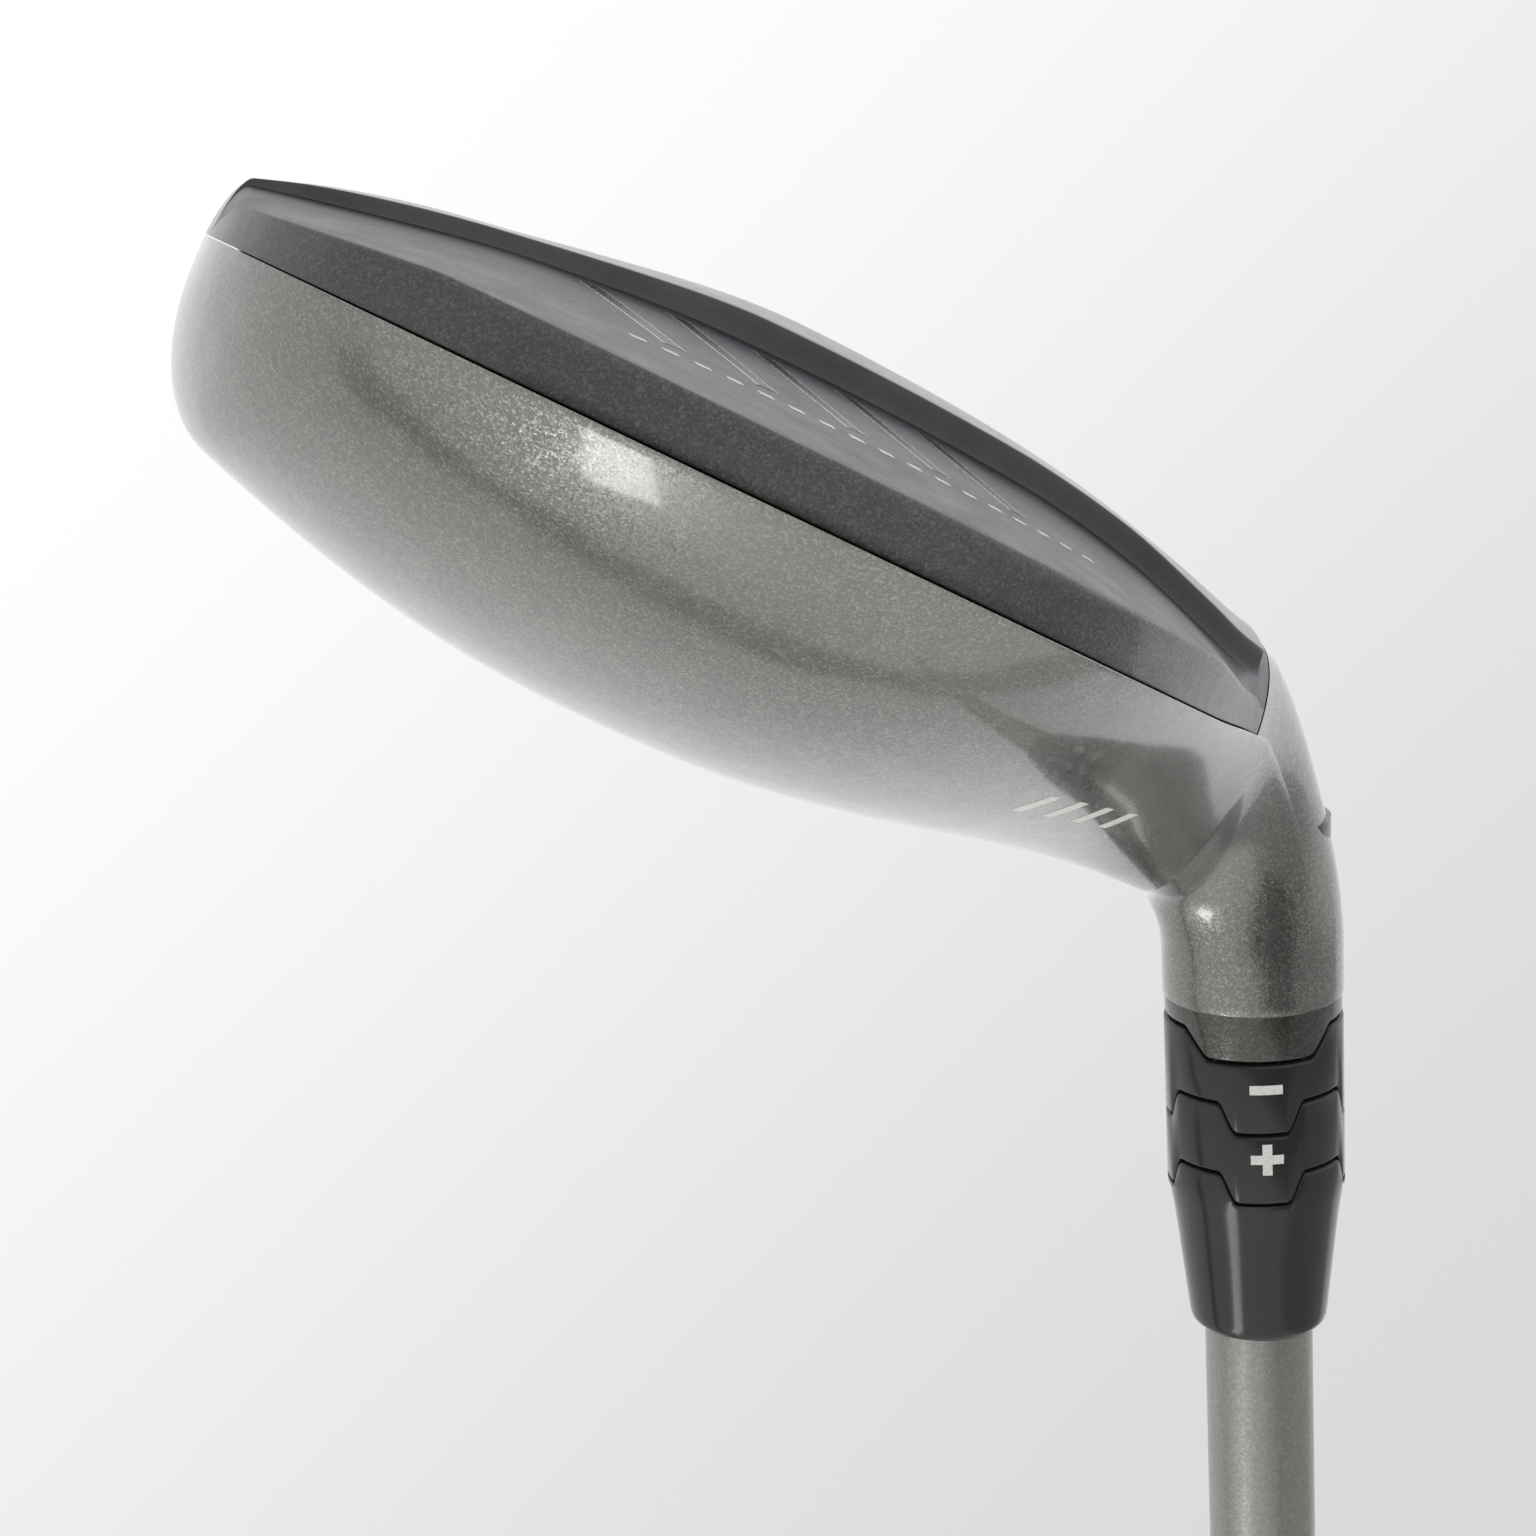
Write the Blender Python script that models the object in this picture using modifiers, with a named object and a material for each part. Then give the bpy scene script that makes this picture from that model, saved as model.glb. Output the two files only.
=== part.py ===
"""Hybrid golf club with an adjustable two-cog hosel, in the address pose.

Metres, +Z up. The sole rests on z = 0 with its lowest point at the origin, the
face looks towards -Y, the toe towards -X and the shaft leans towards +X.
"""
import math

import bmesh
import bpy
from mathutils import Euler, Vector

MM = 0.001
GAP = 0.3                     # clearance between neighbouring pieces

# ---- club geometry (mm and degrees) ----
LIE = math.radians(60.0)
LOFT = math.radians(21.0)
AXIS_X = 43.3                 # shaft axis meets the ground here
AXIS_Y = -10.0
CLUB_LENGTH = 1016.0

# ---- head outline ----
TOE_X = -44.1
MID_X = -2.0                  # station of the deepest section
SEAM_Z = 12.9                 # crown to sole joint, level all round
POLE_Y = 6.0                  # outermost point of the toe
REAR_Y = 42.0
EDGE_Y = -16.6                # leading edge at the middle of the face
FACE_BULGE = 300.0            # radius of the leading edge seen from above
PLAN_REAR_POWER = 2.3
PLAN_FRONT_POWER = 4.0
HEEL_REACH = 56.0
HEEL_POWER = 1.53
TOE_ROUND_X = -38.0           # crown starts rounding down to the toe
TOE_ROUND_POWER = 2.3
FACE_TOE_X = -41.5
FACE_START_X = -41.13
FACE_END_X = 36.4
FACE_ROUND = 12.0
FACE_ROUND_POWER = 2.5
EDGE_RISE = 2.4               # leading edge above the sole
LOW_SHARE = 0.689             # lowest line, from the leading edge back to the step
TOE_WALL_RUN = 1.1
TOPLINE_DROP = 3.6
PEAK_SHARE = 0.19             # crown peak, from the topline back to the seam
WALL_HEIGHT = 3.9             # skirt wall under the rear seam
WALL_INSET = 0.5
STEP_Y = 8.0                  # step between the rear shelf and the front sole
STEP_HEIGHT = 2.1
PAD_CUT = 0.06                # the lowest point of the sole is faced flat by this much
LENS_END_X = 40.6             # rear shelf ends here, at the heel
LENS_END_RUN = 1.6
SOLE_SPLIT_X = 42.8           # sole piece ends here, the heel belongs to the hosel casting

# ---- neck and hosel ----
PIVOT_X = 45.5
PIVOT_Z = 37.4
NECK_RADIUS = 9.0
HOSEL_RADIUS = 7.8
NECK_RUN = 18.0               # station length of the turn from head to hosel
REAR_TAPER = 26.0
FRONT_SETTLE = 0.5            # share of the turn by which the front reaches hosel width
HEEL_DEPTH = 7.15             # extra reach of the heel section over the hosel diameter
MORPH_START_X = 33.0
HEEL_EASE = 2.0

# ---- shell thickness ----
CROWN_WALL = 0.9
SOLE_WALL = 1.2
FACE_WALL = 2.0

# ---- hosel stack, distances along the shaft axis from the ground ----
SEAM_1 = 39.2
SEAM_2 = 45.3
SEAM_3 = 51.7
TAB_1 = 2.4
TAB_2 = 2.7
FERRULE_END = 68.2
COG_RADIUS = 7.7
TAB_AZIMUTH = 110.0
TABS_1 = (2, 106.0, 72.0, TAB_1)   # count, root and tip width in degrees, height
TABS_2 = (4, 54.0, 36.0, TAB_2)
RING_STEPS = 40
CLIP_BOTTOM = 29.3            # snap ring that keeps the cogs on the sleeve
CLIP_TOP = 30.2
CLIP_RADIUS = 5.2
HOSEL_TOP = 37.6              # painted hosel ends, bare castellated collar begins
SLEEVE_RADIUS = 6.1
SLEEVE_BOTTOM = 24.2
SLEEVE_TOP = 54.0
NOSE_RADIUS = 4.6             # narrower lower end of the sleeve
NOSE_TOP = 28.1
NOSE_CONE = 0.6
NOSE_CHAMFER = 0.8
THREAD_TOP = 31.0
SHAFT_TIP = 32.0
TIP_RADIUS = 4.725
TIP_PARALLEL = 110.0
BUTT_RADIUS = 7.6
BUTT_PARALLEL = 760.0
SHAFT_WALL = 1.2
SCREW_RADIUS = 2.35
SCREW_HEAD_RADIUS = 4.4
SCREW_HEAD_BOTTOM = 16.6
SCREW_HEAD_TOP = 20.2
WEB_BOTTOM = 21.4             # ledge across the hosel that the screw clamps
WEB_TOP = 22.9
SCREW_TOP = 30.5
PORT_RADIUS = 5.6
SCREW_HEX = 4.0
HOLE_PLAY = 0.5               # round the screw where it passes the ledge
WASHER_RADIUS = 5.0
RING_RADIUS = 4.0             # keeps the screw captive in the head
COLLAR_RADIUS = 7.6
CORE_LOW = 3.0
TRIM_SHIFT = (-0.03, 0.05, -0.04)  # keeps the lining's outline off the shell's own edges
CORE_RADIUS = 7.3             # boss round the hosel bore
BORE_RADIUS = SLEEVE_RADIUS + GAP
NOSE_BORE = NOSE_RADIUS + GAP

# ---- sole weight screw ----
WEIGHT_X = 22.0
WEIGHT_Y = -3.0
WEIGHT_RADIUS = 5.0
WEIGHT_BOSS_RADIUS = 6.8
WEIGHT_BOSS_TOP = 7.8
WEIGHT_TILT = math.radians(8.5)
WEIGHT_DEPTH = 5.4
WEIGHT_RECESS = 0.5
WEIGHT_HEX = 4.0

# ---- inside the head ----
STRUT_SIZE = (3.0, 6.0, 26.4)
STRUT_X = 12.5
STRUT_Y = 2.0
STRUT_Z = 16.7
TUNGSTEN_SIZE = (14.0, 10.0, 4.0)
TUNGSTEN_TOE = (-20.0, 19.0, 10.9)
TUNGSTEN_HEEL = (13.0, 18.0, 10.6)

# ---- grip ----
GRIP_START = CLUB_LENGTH - 268.0
GRIP_MOUTH_RADIUS = 10.2
GRIP_BUTT_RADIUS = 13.2
CAP_THICKNESS = 3.0
VENT_RADIUS = 1.6
TAPE_WALL = 0.35
TAPE_GAP = 0.15
TAPE_START = GRIP_START + 6.0
GRIP_STRAIGHT = 6.0           # parallel length at the butt
GRIP_STEPS = 6
GRIP_LIP = 3.0                # rounded mouth of the grip

SOLE_CAMBER = [(-44.1, 8.9), (-39.0, 6.6), (-32.0, 4.6), (-24.8, 3.2), (-17.6, 1.8), (-10.0, 0.5),
               (-4.0, -PAD_CUT), (4.0, -PAD_CUT), (13.3, 0.35), (21.5, 1.2), (30.0, 2.75), (38.0, 4.5),
               (42.0, 5.0), (45.5, 5.65)]
CROWN_LINE = [(-44.1, 24.7), (-39.0, 26.4), (-33.0, 28.3), (-26.0, 30.2), (-18.9, 31.6),
              (-11.6, 32.4), (-4.0, 32.7), (3.7, 32.6), (11.6, 31.9), (19.7, 30.8), (29.0, 29.4),
              (38.0, 28.5), (45.5, 28.4)]
STEP_LINE = [(-44.1, 8.9), (-39.8, 7.9), (-33.0, 6.4), (-26.4, 5.1), (-19.5, 4.2), (-12.4, 3.5),
             (-5.2, 3.25), (2.2, 3.2), (9.8, 3.35), (17.6, 3.8), (25.7, 5.0), (33.9, 7.2),
             (38.6, 8.6), (45.5, 9.6)]

CROWN_COUNT = 16
SOLE_COUNTS = (1, 3, 1, 8)   # wall, shelf, step, front sole
FACE_COUNT = 5


def spline(table, x):
    """Smooth value from a table of (x, value) pairs (monotone-spaced Catmull-Rom)."""
    x = min(max(x, table[0][0]), table[-1][0])
    k = 0
    while k < len(table) - 2 and x > table[k + 1][0]:
        k += 1
    x0, y0 = table[k]
    x1, y1 = table[k + 1]
    xa, ya = table[k - 1] if k > 0 else (2 * x0 - x1, 2 * y0 - y1)
    xb, yb = table[k + 2] if k + 2 < len(table) else (2 * x1 - x0, 2 * y1 - y0)
    m0 = (y1 - ya) / (x1 - xa) * (x1 - x0)
    m1 = (yb - y0) / (xb - x0) * (x1 - x0)
    t = (x - x0) / (x1 - x0)
    return ((2 * t ** 3 - 3 * t ** 2 + 1) * y0 + (t ** 3 - 2 * t ** 2 + t) * m0
            + (3 * t ** 2 - 2 * t ** 3) * y1 + (t ** 3 - t ** 2) * m1)


def smooth(t):
    t = min(max(t, 0.0), 1.0)
    return t * t * (3 - 2 * t)


def closing(t, power):
    """Superellipse factor: 1 at t = 0, rounding down to 0 at t = 1."""
    t = min(max(t, 0.0), 1.0)
    return (1 - t ** power) ** (1 / power)


def bezier(a, b, c, d, count):
    points = []
    for i in range(count + 1):
        t = i / count
        u = 1 - t
        points.append(tuple(u ** 3 * a[k] + 3 * u * u * t * b[k] + 3 * u * t * t * c[k] + t ** 3 * d[k]
                            for k in range(2)))
    return points


def line(a, b, count):
    return [tuple(a[k] + (b[k] - a[k]) * i / count for k in range(2)) for i in range(count + 1)]


def mix(a, b, w):
    return tuple(a[k] + (b[k] - a[k]) * w for k in range(2))


def rear_outline(x, inset, narrow):
    """Rear edge of the head; narrow is the toe closing factor."""
    if x < MID_X:
        return POLE_Y + (REAR_Y - inset - POLE_Y) * narrow
    hosel_rear = AXIS_Y + HOSEL_RADIUS
    reach = (1 - ((x - MID_X) / HEEL_REACH) ** 2) ** HEEL_POWER
    return hosel_rear - inset + (REAR_Y - hosel_rear) * reach


def head_section(x, inset):
    """Vertical section of the head as (y, z) points: crown, sole and face runs."""
    toe = TOE_X + inset
    x = max(x, toe)
    edge_drop = SEAM_Z - GAP
    narrow = closing((MID_X - x) / (MID_X - toe), PLAN_REAR_POWER)
    y_rear = rear_outline(x, inset, narrow)
    front = closing((MID_X - x) / (MID_X - toe), PLAN_FRONT_POWER)
    edge_y = EDGE_Y + x * x / (2 * FACE_BULGE) + inset * 1.1
    round_top = closing((TOE_ROUND_X - x) / (TOE_ROUND_X - toe), TOE_ROUND_POWER)
    top_z = SEAM_Z + (spline(CROWN_LINE, x) - inset - SEAM_Z) * round_top
    low_z = spline(SOLE_CAMBER, x) + inset
    opening = closing((FACE_TOE_X + FACE_ROUND - x) / FACE_ROUND, FACE_ROUND_POWER)
    face_opening = closing((FACE_TOE_X + GAP + FACE_ROUND - x) / FACE_ROUND, FACE_ROUND_POWER)
    edge_z = low_z + EDGE_RISE
    line_z = top_z - TOPLINE_DROP * round_top

    def on_face(z):
        return POLE_Y + (edge_y + (z - edge_z + inset) * math.tan(LOFT) - POLE_Y) * front

    sole_end_z = edge_drop + (edge_z - edge_drop) * opening
    crown_end_z = SEAM_Z + (line_z - SEAM_Z) * opening
    face_low_z = edge_drop + (edge_z - edge_drop) * face_opening + GAP
    face_top_z = SEAM_Z + (line_z - SEAM_Z) * face_opening - GAP
    face_top_z = max(face_top_z, face_low_z)
    a = (on_face(sole_end_z), sole_end_z)
    b = (on_face(crown_end_z), crown_end_z)
    d = (y_rear, SEAM_Z)
    peak = (b[0] + PEAK_SHARE * (y_rear - b[0]), top_z)
    rise = peak[1] - b[1]
    fall = peak[1] - d[1]
    run = d[0] - peak[0]
    near = CROWN_COUNT // 4
    crown = bezier(b, (b[0] + 0.25 * (peak[0] - b[0]), b[1] + 0.62 * rise),
                   (peak[0] - 0.5 * (peak[0] - b[0]), peak[1]), peak, near)
    crown += bezier(peak, (peak[0] + 0.42 * run, peak[1]),
                    (d[0] - 0.16 * run, d[1] + 0.52 * fall), d, CROWN_COUNT - near)[1:]

    n_wall, n_shelf, n_step, n_front = SOLE_COUNTS
    half = n_front // 2
    top = (y_rear - WALL_INSET * narrow, edge_drop)
    step_z = min(spline(STEP_LINE, x) + inset, top[1] - 0.6)
    wall = min(WALL_HEIGHT - inset, 0.55 * (top[1] - step_z) + 0.3)
    e = (top[0] - 0.8 * narrow, top[1] - wall)
    f = (min(STEP_Y - inset, e[0] - 0.3 * narrow), step_z)
    g = (f[0] - 0.5 * narrow, step_z - min(STEP_HEIGHT, 0.55 * (step_z - low_z) + 0.4))
    low_y = a[0] + LOW_SHARE * (g[0] - a[0])
    low = (low_y, low_z)
    front_floor = bezier(low, (low_y - 0.45 * (low_y - a[0]), low_z),
                         (a[0] + 0.08 * (low_y - a[0]), low_z + 0.25 * (a[1] - low_z)), a,
                         n_front - half)[1:]
    stepped = line(top, e, n_wall) + line(e, f, n_shelf)[1:] + line(f, g, n_step)[1:]
    stepped += bezier(g, (g[0] - 0.5 * (g[0] - low_y), g[1] - 0.75 * (g[1] - low_z)),
                      (low_y + 0.3 * (g[0] - low_y), low_z), low, half)[1:]
    plain = bezier(top, (top[0] - 0.5, top[1] - 0.4 * (top[1] - low_z)),
                   (top[0] - 0.35 * (top[0] - low_y), low_z + 0.12 * (top[1] - low_z)), low,
                   n_wall + n_shelf + n_step + half)
    shut = smooth((x - LENS_END_X) / LENS_END_RUN)
    sole = [mix(p, q, shut) for p, q in zip(stepped, plain)] + front_floor
    toe_open = closing(1 - min(1.0, (x - toe) / TOE_WALL_RUN), 2.0)
    sole = [(p[0], edge_drop + (p[1] - edge_drop) * toe_open) for p in sole]
    face = line((on_face(face_low_z), face_low_z), (on_face(face_top_z), face_top_z), FACE_COUNT)
    return crown, sole, face


def circle_section():
    """The same runs laid round a unit circle, front at -1 and top at +1."""
    def arc(start, end, count):
        angles = [math.radians(start + (end - start) * i / count) for i in range(count + 1)]
        return [(math.cos(q), math.sin(q)) for q in angles]
    return arc(150, -25, CROWN_COUNT), arc(-25, -150, sum(SOLE_COUNTS)), arc(210, 150, FACE_COUNT)


def head_ring(station, inset):
    """Ring of the head at a station: below PIVOT_X an x position, above it millimetres along the
    neck and hosel. Returns three lists of points in mm."""
    x = max(min(station, PIVOT_X), TOE_X + inset)
    beyond = max(0.0, station - PIVOT_X)
    angle = LIE * min(1.0, beyond / NECK_RUN)
    along = max(0.0, beyond - NECK_RUN)
    runs = head_section(x, inset)
    flat = [p for run in runs for p in run]
    y0, y1 = min(p[0] for p in flat), max(p[0] for p in flat)
    v0, v1 = min(p[1] for p in flat), max(p[1] for p in flat)
    span = (PIVOT_X - MORPH_START_X) + NECK_RUN
    w = smooth((station - MORPH_START_X) / span)
    if beyond > 0:
        q = angle / LIE
        reach = 2 * HOSEL_RADIUS + HEEL_DEPTH * (1 - q) ** HEEL_EASE
        top = PIVOT_Z - NECK_RADIUS - inset
        low = PIVOT_Z - NECK_RADIUS - reach + inset
        rear_end = AXIS_Y + HOSEL_RADIUS - inset
        front_end = AXIS_Y - HOSEL_RADIUS + inset
        delta = rear_end - y1
        slope = -REAR_TAPER
        y1 = y1 + slope * q + (3 * delta - 2 * slope) * q ** 2 + (slope - 2 * delta) * q ** 3
        y0 = y0 + (front_end - y0) * smooth(q / FRONT_SETTLE)
        v0 = low
        v1 = top
    mid_y, half_y = 0.5 * (y0 + y1), 0.5 * (y1 - y0)
    mid_v, half_v = 0.5 * (v0 + v1), 0.5 * (v1 - v0)
    by0, by1 = min(p[0] for p in flat), max(p[0] for p in flat)
    bv0, bv1 = min(p[1] for p in flat), max(p[1] for p in flat)
    result = []
    for run, arc in zip(runs, circle_section()):
        points = []
        for (py, pv), (cy, cv) in zip(run, arc):
            ny = (2 * py - by0 - by1) / max(by1 - by0, 1e-9)
            nv = (2 * pv - bv0 - bv1) / max(bv1 - bv0, 1e-9)
            y = mid_y + half_y * (ny + (cy - ny) * w)
            v = mid_v + half_v * (nv + (cv - nv) * w)
            drop = v - PIVOT_Z
            points.append(Vector((x - drop * math.sin(angle) + along * math.cos(LIE), y,
                                  PIVOT_Z + drop * math.cos(angle) + along * math.sin(LIE))))
        result.append(points)
    return result


# ==== build ====
def collection(name):
    found = bpy.data.collections.get(name)
    if found is None:
        found = bpy.data.collections.new(name)
        bpy.context.scene.collection.children.link(found)
    return found


def material(name, color, metallic, roughness):
    mat = bpy.data.materials.new(name)
    mat.use_nodes = True
    shader = mat.node_tree.nodes["Principled BSDF"]
    shader.inputs["Base Color"].default_value = (*color, 1.0)
    shader.inputs["Metallic"].default_value = metallic
    shader.inputs["Roughness"].default_value = roughness
    mat.diffuse_color = (*color, 1.0)
    return mat


def clear_scene():
    for obj in list(bpy.data.objects):
        bpy.data.objects.remove(obj, do_unlink=True)


def add(name, mesh, mat, group):
    obj = bpy.data.objects.new(name, mesh)
    mesh.materials.append(mat)
    group.objects.link(obj)
    return obj


def shade(obj, degrees=32.0):
    obj.data.shade_smooth()
    obj.data.set_sharp_from_angle(angle=math.radians(degrees))


def make_cutter(obj):
    obj.hide_render = True
    obj.display_type = "WIRE"
    return obj


def boolean(obj, other, operation, label):
    mod = obj.modifiers.new(label, "BOOLEAN")
    mod.operation = operation
    mod.solver = "EXACT"
    mod.object = other


def turned(name, profile, steps, mat, group):
    """Body of revolution about local Z; profile is a closed loop of (radius, height) in mm whose
    outer side is listed first, top to bottom."""
    mesh = bpy.data.meshes.new(name)
    verts = [(r * MM, 0.0, z * MM) for r, z in profile]
    count = len(verts)
    solid = profile[0][0] == 0.0 and profile[-1][0] == 0.0
    edges = [(i, i + 1) for i in range(count - 1)]
    if not solid:
        edges.append((count - 1, 0))
    mesh.from_pydata(verts, edges, [])
    obj = add(name, mesh, mat, group)
    mod = obj.modifiers.new("Turn", "SCREW")
    mod.steps = steps
    mod.render_steps = steps
    mod.use_merge_vertices = True
    mod.merge_threshold = 0.000001
    mod.use_smooth_shade = True
    return obj


def on_axis(obj, along):
    """Put local Z along the shaft with the origin at this distance from the ground."""
    obj.location = Vector((AXIS_X + along * math.cos(LIE), AXIS_Y, along * math.sin(LIE))) * MM
    obj.rotation_euler = Euler((0.0, math.pi / 2 - LIE, 0.0))
    return obj


def closed_mesh(name, bm):
    """Mesh from a bmesh, with points that meet at the toe merged."""
    bmesh.ops.remove_doubles(bm, verts=bm.verts, dist=0.0000005)
    bmesh.ops.triangulate(bm, faces=bm.faces)
    bmesh.ops.recalc_face_normals(bm, faces=bm.faces)
    mesh = bpy.data.meshes.new(name)
    bm.to_mesh(mesh)
    bm.free()
    return mesh


def head_grid(stations, inset_of):
    """Rings of all stations; inset_of gives the inset of the crown, sole and face runs."""
    rings = []
    for station in stations:
        ring = []
        for k in range(3):
            ring += head_ring(station, inset_of[k])[k]
        rings.append([p * MM for p in ring])
    return rings


def patch_mesh(name, outer, inner, cells):
    """Closed shell over the listed grid cells: outer skin, inner skin and rims between them."""
    bm = bmesh.new()
    count = len(outer[0])
    skins = ([[bm.verts.new(p) for p in ring] for ring in outer],
             [[bm.verts.new(p) for p in ring] for ring in inner])
    edges = {}
    for i, j in cells:
        corners = ((i, j), (i, (j + 1) % count), (i + 1, (j + 1) % count), (i + 1, j))
        bm.faces.new([skins[0][a][b] for a, b in corners])
        bm.faces.new([skins[1][a][b] for a, b in reversed(corners)])
        for k in range(4):
            start, end = corners[k], corners[(k + 1) % 4]
            if (end, start) in edges:
                del edges[(end, start)]
            else:
                edges[(start, end)] = True
    for start, end in edges:
        bm.faces.new([skins[0][end[0]][end[1]], skins[0][start[0]][start[1]],
                      skins[1][start[0]][start[1]], skins[1][end[0]][end[1]]])
    loose = [v for v in bm.verts if not v.link_faces]
    bmesh.ops.delete(bm, geom=loose, context="VERTS")
    return closed_mesh(name, bm)


def loft_mesh(name, rings):
    """Closed solid through full rings, the first of which is a single point."""
    bm = bmesh.new()
    grid = [[bm.verts.new(p) for p in ring] for ring in rings]
    count = len(grid[0])
    for i in range(len(grid) - 1):
        for j in range(count):
            k = (j + 1) % count
            bm.faces.new([grid[i][j], grid[i][k], grid[i + 1][k], grid[i + 1][j]])
    bm.faces.new(list(reversed(grid[-1])))
    return closed_mesh(name, bm)


def tab_height(azimuth, count, root_deg, tip_deg, height):
    """Height of a castellated edge at an angle round the hosel."""
    pitch = 360.0 / count
    off = abs((azimuth - TAB_AZIMUTH + pitch / 2) % pitch - pitch / 2)
    if off >= root_deg / 2:
        return 0.0
    if off <= tip_deg / 2:
        return height
    return height * (root_deg / 2 - off) / (root_deg / 2 - tip_deg / 2)


def castle_angles(*edges):
    """Angles to sample round a castellated ring: an even pitch plus every tab corner."""
    corners = set()
    for tabs in edges:
        if tabs:
            for k in range(tabs[0]):
                for off in (-tabs[1] / 2, -tabs[2] / 2, tabs[2] / 2, tabs[1] / 2):
                    corners.add(round((TAB_AZIMUTH + k * 360.0 / tabs[0] + off) % 360.0, 3))
    even = [360.0 * k / RING_STEPS for k in range(RING_STEPS)]
    clear = [q for q in even if all(abs((q - c + 180.0) % 360.0 - 180.0) > 1.5 for c in corners)]
    return sorted(corners | set(clear))


def castle_mesh(name, base, outside, inside, low_tabs, high_tabs):
    """Ring with castellated ends. outside runs down and inside runs up, both as (radius, height)
    pairs in mm; low_tabs and high_tabs are (count, root, tip, height), or None for a plain end."""
    bm = bmesh.new()
    columns = []
    for q in castle_angles(low_tabs, high_tabs):
        foot = tab_height(q, *low_tabs) if low_tabs else 0.0
        head = tab_height(q, *high_tabs) if high_tabs else 0.0
        lift = [head] + [0.0] * (len(outside) - 2) + [foot, foot] + [0.0] * (len(inside) - 2) + [head]
        c, s = math.cos(math.radians(q)) * MM, math.sin(math.radians(q)) * MM
        columns.append([bm.verts.new((r * c, r * s, (z + up - base) * MM))
                        for (r, z), up in zip(outside + inside, lift)])
    for i, column in enumerate(columns):
        other = columns[(i + 1) % len(columns)]
        for k in range(len(column)):
            m = (k + 1) % len(column)
            bm.faces.new([column[k], column[m], other[m], other[k]])
    return closed_mesh(name, bm)


def rod(name, radius, low, high, steps, mat, group):
    """Solid cylinder along local Z from 0 to high - low."""
    return turned(name, [(0.0, high - low), (radius, high - low), (radius, 0.0), (0.0, 0.0)],
                  steps, mat, group)


def hex_prism(name, across_flats, depth, mat, group):
    """Hexagonal socket cutter, centred on local Z and running up from 0."""
    mesh = bpy.data.meshes.new(name)
    bm = bmesh.new()
    radius = across_flats / math.sqrt(3.0) * MM
    bmesh.ops.create_cone(bm, cap_ends=True, segments=6, radius1=radius, radius2=radius, depth=depth * MM)
    bmesh.ops.translate(bm, verts=bm.verts, vec=(0.0, 0.0, 0.5 * depth * MM))
    bm.to_mesh(mesh)
    bm.free()
    return add(name, mesh, mat, group)


def block(name, size, place, tilt, mat, group):
    """Bevelled block of metal, size and place in mm."""
    mesh = bpy.data.meshes.new(name)
    bm = bmesh.new()
    bmesh.ops.create_cube(bm, size=1.0)
    bmesh.ops.scale(bm, verts=bm.verts, vec=[v * MM for v in size])
    bm.to_mesh(mesh)
    bm.free()
    obj = add(name, mesh, mat, group)
    obj.location = Vector(place) * MM
    obj.rotation_euler = Euler((tilt, 0.0, 0.0))
    mod = obj.modifiers.new("Edge", "BEVEL")
    mod.width = 0.5 * MM
    mod.segments = 2
    return obj


STATIONS = [-44.1, -44.0, -43.7, -43.2, -42.4, -41.5, FACE_START_X, -40.6, -39.5, -37.5, -34.0, -29.5,
            -24.0, -18.0, -10.0, MID_X, 4.0, 11.0, 18.0, 24.0, 29.0, 33.0, FACE_END_X, FACE_END_X + GAP,
            LENS_END_X, 41.5, SOLE_SPLIT_X, SOLE_SPLIT_X + GAP, PIVOT_X, 48.0, 50.5, 53.0, 55.5, 58.0,
            60.5, PIVOT_X + NECK_RUN]
HOSEL_START = (PIVOT_X - AXIS_X) * math.cos(LIE) + PIVOT_Z * math.sin(LIE)
STATIONS.append(PIVOT_X + NECK_RUN + HOSEL_TOP - HOSEL_START)


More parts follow.
